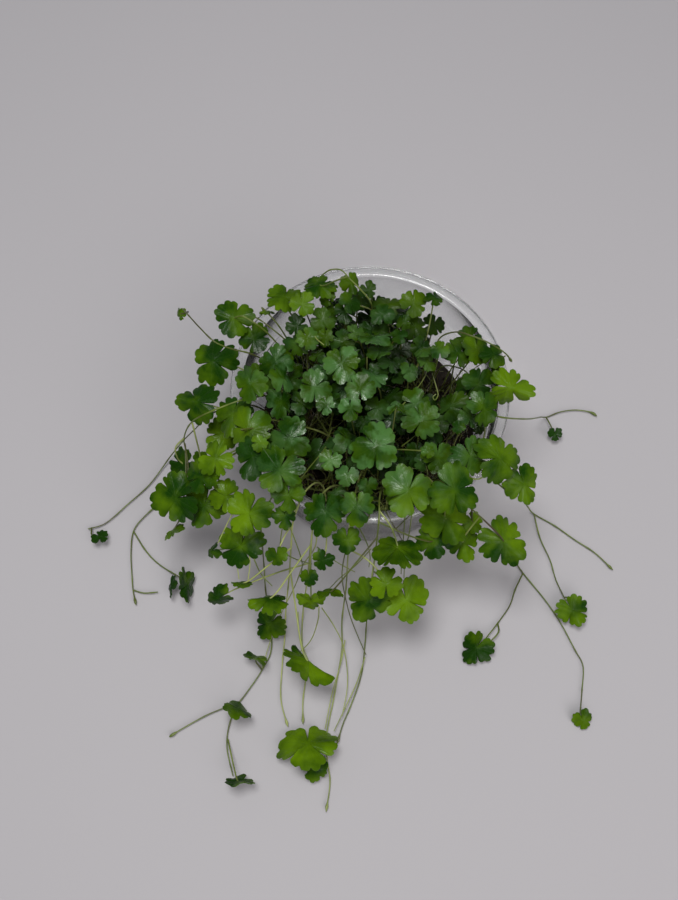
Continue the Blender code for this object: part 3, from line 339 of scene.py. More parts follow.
SHOOTS = (
    # Under the front of the lip
    Shoot("trailing_stem_front_left", 0.40, ((284, 519, 60), (281, 536, 52), (280, 549, 49))),
    Shoot("trailing_stem_front_pale", 0.42,
          ((286, 519, 61), (295, 540, 53), (302, 562, 42), (301, 574, 35))),
    Shoot("trailing_stem_front_pale", 0.66,
          ((317, 527, 60), (315, 547, 50), (303, 565, 38), (295, 586, 24), (282, 612, 9),
           (272, 636, 3.0), (262, 668, 2.6))),
    Shoot("trailing_stem_front_long", 0.40, ((285, 554, 45), (298, 560, 42), (312, 564, 41))),
    Shoot("trailing_stem_front_long", 0.34,
          ((346, 548, 50), (342, 577, 34), (349, 612, 12), (357, 634, 4), (366, 655, 3.0))),
    Shoot("trailing_stem_front_thin", 0.50,
          ((371, 549, 47), (356, 565, 38), (341, 577, 31), (329, 589, 24))),
    Shoot("trailing_stem_front_bare", 0.46,
          ((356, 522, 61), (366, 541, 52), (370, 555, 46), (369, 567, 41))),
    Shoot("trailing_stem_front_thin", 0.52, ((317, 547, 48), (335, 561, 42), (355, 572, 36))),
    Shoot("trailing_stem_front_left", 0.92, ((240, 546, 47), (237, 561, 42), (239, 579, 37))),
    Shoot("trailing_stem_front_left", 0.92, ((247, 545, 48), (250, 562, 43), (248, 580, 38))),
    Shoot("trailing_stem_front_left", 0.50, ((254, 559, 46), (261, 574, 38), (272, 586, 33))),
    Shoot("trailing_stem_front_thin", 0.74,
          ((319, 607, 33), (318, 620, 22), (311, 640, 9), (297, 655, 3.0))),
    Shoot("trailing_stem_front_long", 0.70,
          ((322, 608, 32), (334, 626, 18), (343, 645, 8), (347, 668, 2.6), (347, 690, 2.6),
           (342, 716, 2.6))),
    Shoot("trailing_stem_front_bare", 0.66,
          ((365, 657, 3.0), (357, 682, 2.6), (346, 706, 2.6), (334, 731, 2.4))),
    Shoot("trailing_stem_front_long", 0.72,
          ((345, 640, 3.0), (341, 662, 2.6), (332, 694, 2.6), (325, 729, 2.6))),
    Shoot("trailing_stem_front_thin", 0.80,
          ((298, 612, 12), (299, 632, 4), (304, 650, 2.6), (312, 668, 2.4))),
    Shoot("trailing_stem_front_bare", 0.22, ((382, 504, 62), (391, 521, 54), (402, 540, 46))),
    Shoot("trailing_stem_front_bare", 0.40,
          ((406, 503, 63), (404, 530, 52), (402, 556, 44), (401, 574, 40))),
    Shoot("trailing_stem_front_bare", 0.46,
          ((413, 506, 62), (409, 534, 50), (405, 552, 44), (404, 578, 40))),
    Shoot("trailing_stem_front_bare", 0.30, ((411, 514, 58), (400, 525, 53), (391, 533, 50))),
    Shoot("trailing_stem_left_short", 0.86, ((237, 506, 60), (228, 522, 56), (218, 543, 48))),
    # Young shoots between the canopy's leaves
    Shoot("arching_stem_back", 0.60,
          ((369, 378, 44), (377, 367, 52), (378, 357, 56), (371, 347, 54))),
    Shoot("arching_stem_back", 0.70, ((367, 376, 46), (367, 366, 52), (367, 357, 56))),
    Shoot("arching_stem_right", 0.50,
          ((396, 412, 66), (407, 400, 62), (423, 380, 54), (430, 362, 44))),
    Shoot("arching_stem_right", 0.62,
          ((432, 373, 46), (436, 386, 54), (438, 395, 58), (435, 400, 60), (433, 397, 61),
           (436, 394, 61.5))),
    Shoot("arching_stem_right", 0.25, ((438, 404, 56), (445, 416, 50), (453, 427, 42))),
    Shoot("arching_stem_right", 0.50, ((456, 399, 52), (460, 408, 50), (463, 418, 46))),
    Shoot("arching_stem_right", 0.60,
          ((484, 362, 52), (473, 371, 58), (485, 381, 59), (497, 389, 58))),
    Shoot("arching_stem_right", 0.42,
          ((452, 396, 26), (454, 384, 34), (462, 378, 38), (470, 384, 34), (471, 394, 26))),
    Shoot("arching_stem_right", 0.38,
          ((448, 390, 24), (456, 386, 32), (465, 388, 36), (466, 398, 30))),
    Shoot("creeping_stem_01", 0.62, ((312, 328, 62), (316, 338, 66), (324, 345, 68))),
    Shoot("creeping_stem_01", 0.56, ((358, 409, 62), (357, 420, 54), (358, 433, 46))),
    Shoot("creeping_stem_01", 0.60, ((332, 428, 52), (328, 438, 48), (322, 449, 40))),
    Shoot("creeping_stem_01", 0.50,
          ((326, 447, 54), (320, 455, 62), (309, 468, 66), (297, 484, 67))),
    Shoot("creeping_stem_01", 0.45, ((402, 446, 60), (410, 440, 56), (417, 434, 50))),
)

# How dark or pale each trailing stem is, from 0, brown, through 0.45, olive, to 1, cream, and then
# the tone of every other stem
STEM_TONES = {
    "trailing_stem_front_pale": 0.80, "trailing_stem_front_thin": 0.70,
    "trailing_stem_front_long": 0.62, "trailing_stem_front_bare": 0.42,
    "trailing_stem_front_left": 0.40, "trailing_stem_far_left": 0.45,
    "trailing_stem_left_long": 0.36, "young_shoot_left": 0.30,
    "trailing_stem_front_right": 0.48, "trailing_stem_front_right_long": 0.36,
}
STEM_TONE = 0.42

# Fine stems and stalks: steps between two points of a path, how the width runs from start to
# end as shares, how a stalk widens under its blade, and how far its tone strays
STEM_STEPS = 6
STALK_STEPS = 5
STALK_TAPER = (1.1, 0.85)
STALK_FLARE = (1.15, 1.5)
STALK_TONES = (-0.22, 0.3)
SHOOT_TAPER = (1.0, 0.7)
TANGLE_TAPER = (0.8, 0.5)
STEM_TAPER = 0.25
ROUND_SIDES = 2
TANGLE_SIDES = 1

# A stem's knots and its bud, with lengths in mm and swells as shares of its radius
NODE_SPACING = 16.0
KNOT_LENGTH = 0.9
KNOT_SWELL = 0.35
BUD_LENGTH = 3.4
BUD_NECK = 0.75
BUD_SWELL = 1.1
BUD_TIP = 0.3

# Fine blades: each lobe runs from one angle to another, with the edge's low share at both its
# ends, and carries some rounded scallops
LARGE_LOBES = ((-180, -48, 0.18, 0.44, 5), (-48, 48, 0.44, 0.44, 4), (48, 180, 0.44, 0.18, 5))
SMALL_LOBES = ((-180, -48, 0.20, 0.48, 4), (-48, 48, 0.48, 0.48, 3), (48, 180, 0.48, 0.20, 4))
SCALLOP_STEPS = 5
SMALL_SCALLOP_STEPS = 4
LARGE_RINGS = 6
SMALL_RINGS = 4
LOBE_ROUND = 0.27
LOBE_CLEFT = 0.10
BLADE_SPREAD = 1.09
SCALLOP_ROUND = 0.5
CLEFT_PLACE = 0.42
CLEFT_WIDTH = 0.05
STALK_SHARE = 0.01

# How far one blade differs from the next, as ranges of shares, and of degrees for the fold
LOW_RANGE = (0.75, 1.45)
SCALLOP_RANGE = (0.75, 1.25)
CLEFT_RANGE = (0.0, 2.5)
DISH_RANGE = (-0.7, 2.3)
FOLD_RANGE = (-8, 14)
PHASE_RANGE = (0, 6)

# Waves on a blade: how many go round it and how large they are, in its outline and in the turn
# of its lobes. Ripples lift and lower its edge, each shifted by its own factor
LOBE_WAVES = ((1.5, 0.06), (7, 0.025))
TURN_WAVES = ((2, 0.09), (5, 0.05))
RIPPLES = ((3, 1.0, 1.0), (5, 0.6, 1.7), (9, 0.15, 2.3))
PUCKERS_AHEAD = 1.9
PUCKERS_ASIDE = 2.1
RIDGE_END = 0.95
CREASE_SHARE = 0.12

# Each stem's blades take their chance from this many numbers of their own
BLADES_PER_STEM = 100

# Below how many degrees two faces are shaded as one, and how far up a top face's normal points
SMOOTH_ANGLE = 55
FACES_UP = 0.9

# The jar's fine section, in mm: the flange that the lip is rolled into, the rounded corners, and
# the stacking step, as points outwards and upwards from its lower edge
FOOT_DEPTH = 0.05
SKIRT_THICKNESS = 0.65
FLANGE_THICKNESS = 0.9
CORNER_STEPS = 5
FOOT_ROUND = 1.5
NECK_ROUND = 0.6
NECK_SLOPE = 0.2
NECK_DROP = 0.8
FLANGE_ROUND = 0.5
SKIRT_ROUND = 0.32
LIP_ROUND = 0.7
LIP_INSET = 0.1
FLOOR_INSET = 1.4
FLOOR_SHARES = (0.5, 0.05)
STEP_OUTSIDE = ((0.0, 0.0), (0.15, 0.35), (STEP_DEPTH - 0.1, 0.85), (STEP_DEPTH, 1.3))
STEP_INSIDE = ((STEP_DEPTH, 1.7), (STEP_DEPTH - 0.1, 1.3), (0.1, 0.7), (0.0, 0.3))

# The soil's surface: how many broad and fine lumps stand on a mm, their shares of the height and
# their slices of the noise, how far it sinks in mm, its faces, and the loose crumbs
BROAD_LUMPS = 0.10
BROAD_SHARE = 0.7
BROAD_SLICE = 3.1
FINE_LUMPS = 0.45
FINE_SHARE = 0.5
FINE_SLICE = 7.7
FINE_FRACTAL = (1.0, 2.0, 3)
SOIL_SINK = 0.3
SOIL_SIDES = 96
SOIL_RINGS = 34
SOIL_EDGE = 0.5
TOP_MARGIN = 0.1
CRUMB_MARGIN = 2.0
CRUMB_SIZES = (0.4, 1.2)
CRUMB_ROUGHNESS = (0.65, 1.15)
CRUMB_LIFT = 0.25
CRUMB_SEED = 5

# How a blade's veins are drawn: the slant, sharpness and faintness of the side veins, and the
# power by which the edge's colour keeps to the edge
SIDE_SLANT = 0.55
SIDE_SHARPNESS = 7.0
SIDE_FAINTNESS = 0.45
EDGE_POWER = 9.0

# Node groups: the height of the fine relief in m, how sharply the heart of the plant ends, and
# how far in mm from the lip's edge the painted shade in the jar begins
RELIEF_DISTANCE = 0.0002
HEART_FALL = 1.7
SHADE_INSET = 3.0

# Leaves: how patches, painted sheen, veins and edge weigh in their colour, roughness and waxy sheen
LIME_PATCHES = 1.3
LIME_START = 0.6
LIME_LIMIT = 1.3
LIME_LOST = 0.65
# The lime green is partly the young leaves' own colour and partly a painted glow of light shining
# through the thin blades
CANOPY_LIME = 0.56
TRAILING_LIME = 0.68
VEIN_SHARE = 0.13
EDGE_SHARE = 0.15
VEIN_SUNK = -0.25
LEAF_ROUGHER = 0.06
LEAF_SMOOTHER = 0.10
LEAST_WAX = 0.2
LEAST_SHEEN = 0.3
COAT_INDEX = 1.5

# Stems, jar and floor: how patches weigh in them, where the stems' colours lie between brown and
# cream, and how much light the jar lets in
STEM_PATCHES = 0.35
BROWN_PLACE = 0.12
OLIVE_PLACE = 0.45
CREAM_PLACE = 0.92
HAZE_PATCHES = 0.05
PASSED_LIGHT = (0.9, 0.9, 0.9, 1.0)
FLOOR_PATCHES = 0.94

# The stage: its floor, lights and camera, in m, and the camera's sensor in mm
FLOOR_SIZE = 4.0
KEY_PLACE = (-0.10, -0.03, 0.96)
KEY_SIZE = 0.36
KEY_COLOUR = (0.97, 0.98, 0.95)
FILL_PLACE = (0.40, -0.65, 0.85)
FILL_SIZE = 1.0
FILL_COLOUR = (1.0, 0.97, 0.94)
LIGHT_TARGET = (0, 0, 0.05)
ROOM_COLOUR = (0.93, 0.95, 1.0, 1.0)
SENSOR = 36.0
PICTURE_HEIGHT = 900
NEAREST_SEEN = 0.01


def direction(azimuth):
    """Return the level unit vector at an angle in degrees."""
    return np.array((cos(radians(azimuth)), sin(radians(azimuth)), 0.0))


def spot(seen_x, seen_y, height):
    """Return the point in mm that is seen at a pixel and lies at a height."""
    down = radians(VIEW_DOWN)
    ahead = np.array((0.0, cos(down), -sin(down)))
    above = np.array((0.0, sin(down), cos(down)))
    right = np.array((1.0, 0.0, 0.0))
    across = (seen_x - VIEW_CENTRE[0]) / VIEW_FOCAL
    up = (VIEW_CENTRE[1] - seen_y) / VIEW_FOCAL
    sight = ahead + right * across + above * up
    return VIEW_FROM + sight * (height - VIEW_FROM[2]) / sight[2]


class Blade:
    """A leaf's blade: its place, its own axes and the form of its edge."""

    def __init__(self, leaf, height):
        self.leaf = leaf
        self.origin = spot(leaf.seen_x, leaf.seen_y, height)
        self.radius = leaf.width / 2
        lean = radians(leaf.lean)
        self.normal = direction(leaf.toward) * sin(lean) + np.array((0, 0, cos(lean)))
        middle = direction(leaf.spin)
        middle = middle - self.normal * middle.dot(self.normal)
        self.middle = middle / np.linalg.norm(middle)
        self.side = np.cross(self.normal, self.middle)
        self.fold = radians(leaf.fold)
        outline = LARGE_OUTLINE if leaf.width >= SMALL_LEAF else SMALL_OUTLINE
        self.angles = np.radians([angle for angle, _ in outline])
        reach = self.radius * np.array([share for _, share in outline])
        reach[-1] = max(reach[-1], SINUS_RADIUS)
        self.reach = reach

    def edge(self, angle):
        """Return the distance from the stalk to the edge at an angle."""
        return np.interp(angle, self.angles, self.reach, period=2 * pi)

    def place(self, ahead, aside, above=0.0):
        """Return the points at flat blade coordinates, dished and folded into place."""
        dish = BLADE_DISH * (ahead ** 2 + aside ** 2) / self.radius
        across = aside * cos(self.fold)
        drop = -np.abs(aside) * sin(self.fold)
        return (self.origin + np.outer(ahead, self.middle) + np.outer(across, self.side)
                + np.outer(drop + dish + above, self.normal))

    def samples(self):
        """Return points spread over the blade's middle surface."""
        turn = np.radians(np.arange(0, 360, EDGE_STEP))
        edge = self.edge(turn)
        shares = np.linspace(0, 1, EDGE_RINGS)[:, None]
        return self.place((shares * edge * np.cos(turn)).ravel(),
                          (shares * edge * np.sin(turn)).ravel())


class Room:
    """The space around the plant in small cells, each marked with how near something is."""

    def __init__(self):
        self.low = np.array(ROOM_LOW)
        size = (np.array(ROOM_HIGH) - self.low) / CELL
        self.cells = np.zeros(size.astype(int), dtype=np.uint8)

    def find(self, points):
        """Return the cells that points lie in."""
        cells = np.rint((points - self.low) / CELL).astype(int)
        return np.clip(cells, 0, np.array(self.cells.shape) - 1)

    def fill(self, points, reach):
        """Mark the cells within reach of points as near, and the nearest ones as taken."""
        span = np.arange(-SEARCH_CELLS, SEARCH_CELLS + 1)
        offsets = np.stack(np.meshgrid(span, span, span), axis=-1).reshape(-1, 3)
        away = np.linalg.norm(offsets, axis=1) * CELL
        found = self.find(points)
        for limit, mark in ((reach, 1), (reach * CLOSE_SHARE, 2)):
            around = (found[:, None] + offsets[away <= limit][None]).reshape(-1, 3)
            around = tuple(np.clip(around, 0, np.array(self.cells.shape) - 1).T)
            self.cells[around] = np.maximum(self.cells[around], mark)

    def mark_at(self, points):
        """Return the strongest mark among the cells of points, 0 where all are free."""
        if not len(points):
            return 0
        return int(self.cells[tuple(self.find(points).T)].max())


def jar_outer_radius(height):
    """Return the jar's outer radius in mm at a height below its lip."""
    share = np.minimum(height, STEP_HEIGHT) / STEP_HEIGHT
    below = BASE_RADIUS + (STEP_RADIUS - BASE_RADIUS) * share
    over = np.maximum(height - STEP_HEIGHT, 0) / (JAR_HEIGHT - STEP_HEIGHT)
    upper = STEP_RADIUS + STEP_DEPTH + (LIP_RADIUS - LIP_WIDTH - STEP_RADIUS - STEP_DEPTH) * over
    return np.where(height < STEP_HEIGHT, below, upper)


def touches_jar(points, room):
    """Tell whether any point is in the jar's wall or lip, or nearer than the room given."""
    span = np.hypot(points[:, 0], points[:, 1])
    height = points[:, 2]
    outer = jar_outer_radius(height)
    wall = (span < outer + room) & (span > outer - WALL - room) & (height < JAR_HEIGHT + room)
    lip_low = JAR_HEIGHT - LIP_DROP - room
    lip = (span < LIP_RADIUS + room) & (span > LIP_RADIUS - LIP_WIDTH - WALL - room)
    lip &= (height < JAR_HEIGHT + room) & (height > lip_low)
    under = (span < outer - WALL - room) & (height < SOIL_TOP + SOIL_LUMP + room / 2)
    return bool((wall | lip | under).any())


def dense(points, step=DENSE_STEP):
    """Return a polyline's points with more between them, no further apart than a step."""
    pieces = []
    for start, end in zip(points[:-1], points[1:]):
        count = max(2, int(np.linalg.norm(end - start) / step) + 2)
        pieces.append(start + np.outer(np.linspace(0, 1, count, endpoint=False), end - start))
    return np.vstack(pieces + [points[-1:]])


def bezier(start, first, second, end, steps):
    """Return the points of a cubic curve."""
    t = np.linspace(0, 1, steps + 1)[:, None]
    u = 1 - t
    return u ** 3 * start + 3 * u ** 2 * t * first + 3 * u * t ** 2 * second + t ** 3 * end


def runner_axes():
    """Return the axes of the creeping stems that lie on the soil in waving rows."""
    axes = []
    rows = int(ROW_REACH // ROW_SPACING)
    for row in range(-rows, rows + 1):
        y = row * ROW_SPACING
        half = (ROW_REACH ** 2 - y ** 2) ** 0.5
        count = max(1, round(2 * half / (RUNNER_LENGTH + RUNNER_SPACE)))
        pitch = (2 * half + RUNNER_SPACE) / count
        for index in range(count):
            start = -half + index * pitch
            x = np.linspace(start, start + pitch - RUNNER_SPACE, RUNNER_POINTS)
            wave = y + ROW_WAVE * np.sin(x / ROW_WAVE_LENGTH)
            axes.append(np.column_stack((x, wave, np.full(RUNNER_POINTS, RUNNER_HEIGHT))))
    return axes


def over_lip(azimuth, lift):
    """Return the point just inside the lip's edge at which a stem crosses it."""
    return direction(azimuth) * (LIP_RADIUS - OVER_INSET) + np.array((0, 0, JAR_HEIGHT + lift))


def trail_route(trail):
    """Return a trailing stem's points from its root, over the lip and along the table."""
    seen = np.array([spot(*point) for point in trail.route])
    root = np.array((*trail.root, RUNNER_HEIGHT))
    if trail.over is None:
        rise = np.array((0, 0, seen[0][2] - root[2]))
        first = bezier(root, root + rise * ROOT_PULL, seen[0] - rise * ROUTE_PULL, seen[0],
                       CURVE_STEPS)
        return np.vstack((first, seen[1:]))
    over = over_lip(*trail.over)
    rise = np.array((0, 0, over[2] - root[2]))
    before = over - direction(trail.over[0]) * LIP_PULL
    inner = bezier(root, root + rise * INNER_PULL, before, over, INNER_STEPS)
    return np.vstack((inner, seen))


def clear_blade(leaf, room):
    """Return a leaf's blade at the height nearest to its own at which it is clear, or None."""
    for allowed in (0, 1):
        for change in HEIGHT_TRIES:
            blade = Blade(leaf, leaf.height + change)
            points = blade.samples()
            low = points[:, 2].min() < TABLE_ROOM + BLADE_THICKNESS / 2
            if not low and not touches_jar(points, JAR_ROOM) and room.mark_at(points) <= allowed:
                return blade
    return None


def settle_blades(leaves, room):
    """Return the blades of the leaves that find a clear height, by their leaf."""
    settled = {}
    for leaf in leaves:
        blade = clear_blade(leaf, room)
        if blade:
            room.fill(blade.samples(), BLADE_REACH)
            settled[leaf] = blade
    return settled


def rising_ways(blade, stations):
    """Yield the ways for a stalk from the soil to a blade that stands inside the lip."""
    end = blade.origin - blade.normal * BLADE_THICKNESS / 2
    pull = blade.normal * max(LEAST_BLADE_PULL, BLADE_PULL * blade.radius)
    for size, turn in BOW_TRIES:
        bow = direction(turn) * size
        for start in nearest_points(stations, end, RISING_STARTS):
            rise = np.array((0, 0, end[2] - start[2]))
            first = start + rise * ROOT_PULL + bow
            second = end - pull - rise * RISING_PULL + bow
            yield start, bezier(start, first, second, end, CURVE_STEPS)


def hanging_ways(blade, stations):
    """Yield the ways for a stalk from a trailing stem to a blade outside the jar."""
    end = blade.origin - blade.normal * BLADE_THICKNESS / 2
    pull = blade.normal * max(LEAST_HANGING_PULL, HANGING_PULL * blade.radius)
    first_bow, second_bow = HANGING_BOW
    for size, turn in BOW_TRIES:
        bow = direction(turn) * size
        for start in stalk_starts(stations, end):
            first = start + (end - start) * HANGING_LEAD + bow * first_bow + (0, 0, HANGING_RISE)
            yield start, bezier(start, first, end - pull + bow * second_bow, end, CURVE_STEPS)


def stalk_starts(stations, end):
    """Return the points of a stem that a hanging leaf's stalk would best start from."""
    reach, above = (STALK_SPAN, STALK_DROP) if end[2] > LYING_HEIGHT else (LYING_SPAN, 0.0)
    return sorted(stations, key=lambda point: abs(np.linalg.norm(point - end) - reach)
                  + max(0.0, end[2] + above - point[2]))[:HANGING_STARTS]


def arching_ways(blade, stations):
    """Yield the ways for a stalk from the soil over the jar's lip to a blade outside it."""
    end = blade.origin - blade.normal * BLADE_THICKNESS / 2
    last_pull = blade.normal * max(LEAST_BLADE_PULL, BLADE_PULL * blade.radius)
    azimuth = degrees(atan2(end[1], end[0]))
    for lift in LIFT_TRIES:
        for swing in SWING_TRIES:
            outward = direction(azimuth + swing)
            over = over_lip(azimuth + swing, lift)
            for start in nearest_points(stations, end, ARCHING_STARTS):
                rise = np.array((0, 0, over[2] - start[2]))
                before = over - outward * ARCH_PULL
                first = bezier(start, start + rise / 2, before, over, CURVE_STEPS)
                pull = outward * min(ARCH_PULL, np.linalg.norm(end - over) / 2)
                second = bezier(over, over + pull, end - last_pull, end, CURVE_STEPS)
                yield start, np.vstack((first, second[1:]))


def nearest_points(points, target, count):
    """Return the few points that lie nearest to a target in plan."""
    return sorted(points, key=lambda point: hypot(*(point - target)[:2]))[:count]


def open_stretch(way):
    """Return a stalk's points, but for its ends, where it meets its own stem and blade."""
    points = dense(way)
    from_start = np.linalg.norm(points - way[0], axis=1)
    from_end = np.linalg.norm(points - way[-1], axis=1)
    return points[(from_start > END_STRETCH) & (from_end > END_STRETCH)]


def find_way(blade, tries, room):
    """Return the first clear way to a blade, with its stem and where it starts."""
    for allowed in (0, 1):
        for stem, ways in tries:
            for start, way in ways(blade, stem.stations):
                points = open_stretch(way)
                if not len(points):
                    return stem, start, way
                low = points[:, 2].min() < TABLE_ROOM + STALK_RADIUS
                taken = low or room.mark_at(points) > allowed
                if not taken and not touches_jar(points, JAR_ROOM):
                    return stem, start, way
    return None


class Stem:
    """A stem: its axis, its side branches and the leaf stalks that grow from it."""

    def __init__(self, name, axis, branches=()):
        self.name = name
        self.axis = axis
        self.branches = list(branches)
        self.stalks = []
        paths = [dense(path, STATION_STEP)[1:-1] for path in [axis] + self.branches]
        points = np.vstack(paths)
        outside = np.hypot(points[:, 0], points[:, 1]) > LIP_RADIUS - LIP_WIDTH - WALL
        if outside.any():
            points = points[outside]
        self.stations = list(points)

    def grow(self, blade, start, way):
        """Add a leaf on its stalk, and leave its station and those beside it to it."""
        self.stalks.append((blade, way))
        self.stations = [point for point in self.stations
                         if np.linalg.norm(point - start) > OWN_STATION * STATION_STEP]


def plan_plant():
    """Settle every stem, blade and stalk, and return the stems."""
    room = Room()
    runners = [Stem("", axis) for axis in runner_axes()]
    trails = []
    for trail in TRAILS:
        route = trail_route(trail)
        branches = [np.array([spot(*point) for point in branch]) for branch in trail.branches]
        trails.append(Stem(trail.name, route, branches))
    for stem in runners + trails:
        for path in [stem.axis] + stem.branches:
            room.fill(dense(path), STALK_REACH)
    own_leaves = [leaf for trail in TRAILS for leaf in trail.leaves]
    blades = settle_blades(own_leaves + list(CANOPY), room)

    for trail, stem in zip(TRAILS, trails):
        for leaf in trail.leaves:
            if leaf in blades:
                place_stalk(blades[leaf], [(stem, hanging_ways)], room)
    for leaf in CANOPY:
        if leaf in blades:
            place_stalk(blades[leaf], stalk_tries(blades[leaf], runners, trails), room)
    kept = [stem for stem in runners if stem.stalks]
    for number, stem in enumerate(kept, start=1):
        stem.name = f"creeping_stem_{number:02d}"
    grow_understory(kept, room)
    return trails + kept


def stalk_tries(blade, runners, trails):
    """Return the stems that a canopy leaf may grow from, each with the kind of way from it."""
    span = hypot(blade.origin[0], blade.origin[1])
    root = blade.origin[:2] * min(1.0, ROOT_SHARE * ROW_REACH / max(span, 1.0))
    rooted = sorted(runners, key=lambda stem: CROWDING * len(stem.stalks) + min(
        np.linalg.norm(point[:2] - root) for point in stem.axis))
    if span < LIP_RADIUS - LIP_WIDTH - INSIDE_ROOM:
        return [(stem, rising_ways) for stem in rooted[:RISING_STEMS]]
    near = sorted(trails, key=lambda stem: CROWDING * len(stem.stalks) + min(
        [np.linalg.norm(point - blade.origin) for point in stem.stations] + [FAR]))
    hanging = [(stem, hanging_ways) for stem in near[:HANGING_STEMS]]
    arching = [(stem, arching_ways) for stem in rooted[:HANGING_STEMS]]
    high = blade.origin[2] > JAR_HEIGHT and span < LIP_RADIUS + HIGH_REACH
    return arching + hanging if high else hanging + arching


def place_stalk(blade, tries, room):
    """Grow a stalk to a blade from the first stem that has a clear way to it."""
    found = find_way(blade, tries, room)
    if found:
        stem, start, way = found
        stem.grow(blade, start, way)
        room.fill(open_stretch(way), STALK_REACH)


def seen_at(point):
    """Return the pixel at which a point in mm is seen, the inverse of spot."""
    down = radians(VIEW_DOWN)
    away = point - VIEW_FROM
    depth = away[1] * cos(down) - away[2] * sin(down)
    rise = away[1] * sin(down) + away[2] * cos(down)
    return (VIEW_CENTRE[0] + away[0] / depth * VIEW_FOCAL,
            VIEW_CENTRE[1] - rise / depth * VIEW_FOCAL)


def grow_tangle(stems):
    """Return the fine bare stems that cross one another below the canopy, by their stem."""
    chance = Random(TANGLE_SEED)
    first_pull, second_pull = TANGLE_PULL
    grown = []
    creeping = [stem for stem in stems if stem.name.startswith("creeping")]
    for _ in range(TANGLE_STEMS):
        stem = chance.choice(creeping)
        start = stem.axis[chance.randrange(len(stem.axis))]
        sweep = direction(chance.uniform(0, 360)) * chance.uniform(*TANGLE_REACH)
        rise = np.array((0, 0, chance.uniform(*TANGLE_RISE)))
        bow = direction(chance.uniform(0, 360)) * chance.uniform(*TANGLE_BOW)
        way = bezier(start, start + rise * first_pull + bow,
                     start + sweep + rise * second_pull - bow, start + sweep + rise, TANGLE_STEPS)
        in_open = any(keeps_out(point, TANGLE_MARGIN) for point in way)
        if not touches_jar(way, JAR_ROOM) and not in_open:
            grown.append((stem.name, chance.uniform(*TANGLE_TONES), way))
    return grown


def keeps_out(point, margin=OPEN_MARGIN):
    """Tell whether a point is in the space that stays open, or nearer to it than a margin."""
    low, high = OPEN_SPACE
    return all(a - margin < value < b + margin for a, value, b in zip(low, point, high))


def grow_understory(stems, room):
    """Grow the small leaves that stand below the canopy, inside the jar."""
    chance = Random(UNDERSTORY_SEED)
    for number in range(UNDERSTORY_TRIES):
        span = UNDERSTORY_REACH * ((number + 0.5) / UNDERSTORY_TRIES) ** 0.5
        place = direction(number * GOLDEN_ANGLE) * span
        place[2] = chance.uniform(*UNDERSTORY_HEIGHTS)
        leaf = Leaf(*seen_at(place), place[2], chance.uniform(*UNDERSTORY_WIDTHS),
                    chance.uniform(*UNDERSTORY_LEANS), chance.uniform(0, 360),
                    chance.uniform(0, 360), chance.choice(UNDERSTORY_FOLDS))
        dark = any(hypot(leaf.seen_x - x, leaf.seen_y - y) < reach for x, y, reach in DARK_GAPS)
        if dark or keeps_out(place):
            continue
        blade = Blade(leaf, leaf.height)
        points = blade.samples()
        if touches_jar(points, JAR_ROOM) or room.mark_at(points) > 1:
            continue
        rooted = sorted(stems, key=lambda stem: min(
            np.linalg.norm(point[:2] - place[:2]) for point in stem.axis))
        tries = [(stem, rising_ways) for stem in rooted[:UNDERSTORY_STEMS]]
        found = find_way(blade, tries, room)
        if found:
            stem, _, way = found
            stem.stalks.append((blade, way))
            room.fill(points, UNDERSTORY_ROOM)


def clear_selection():
    """Deselect every object, so that a new primitive is worked on alone."""
    bpy.ops.object.select_all(action="DESELECT")


def pick(*objects):
    """Select these objects alone and make the first one active."""
    clear_selection()
    for obj in objects:
        obj.select_set(True)
    bpy.context.view_layer.objects.active = objects[0]


def apply_modifiers(obj):
    """Apply every modifier of an object in order."""
    pick(obj)
    for name in [modifier.name for modifier in obj.modifiers]:
        bpy.ops.object.modifier_apply(modifier=name)


def joined(name, objects):
    """Join objects into one, named for its piece."""
    pick(*objects)
    if len(objects) > 1:
        bpy.ops.object.join()
    obj = bpy.context.object
    obj.name = name
    obj.data.name = name
    return obj


def set_tone(obj, tone):
    """Give every vertex of a mesh the tone that its material reads."""
    attribute = obj.data.attributes.new("tone", "FLOAT", "POINT")
    attribute.data.foreach_set("value", np.full(len(obj.data.vertices), tone, np.float32))


def smooth_path(points, steps):
    """Return a smooth curve's points through a route's own points."""
    padded = np.vstack((2 * points[0] - points[1], points, 2 * points[-1] - points[-2]))
    t = np.linspace(0, 1, steps, endpoint=False)[:, None]
    pieces = []
    for before, start, end, after in zip(padded, padded[1:], padded[2:], padded[3:]):
        pieces.append(0.5 * (2 * start + (end - before) * t
                             + (2 * before - 5 * start + 4 * end - after) * t ** 2
                             + (3 * start - before - 3 * end + after) * t ** 3))
    return np.vstack(pieces + [points[-1:]])


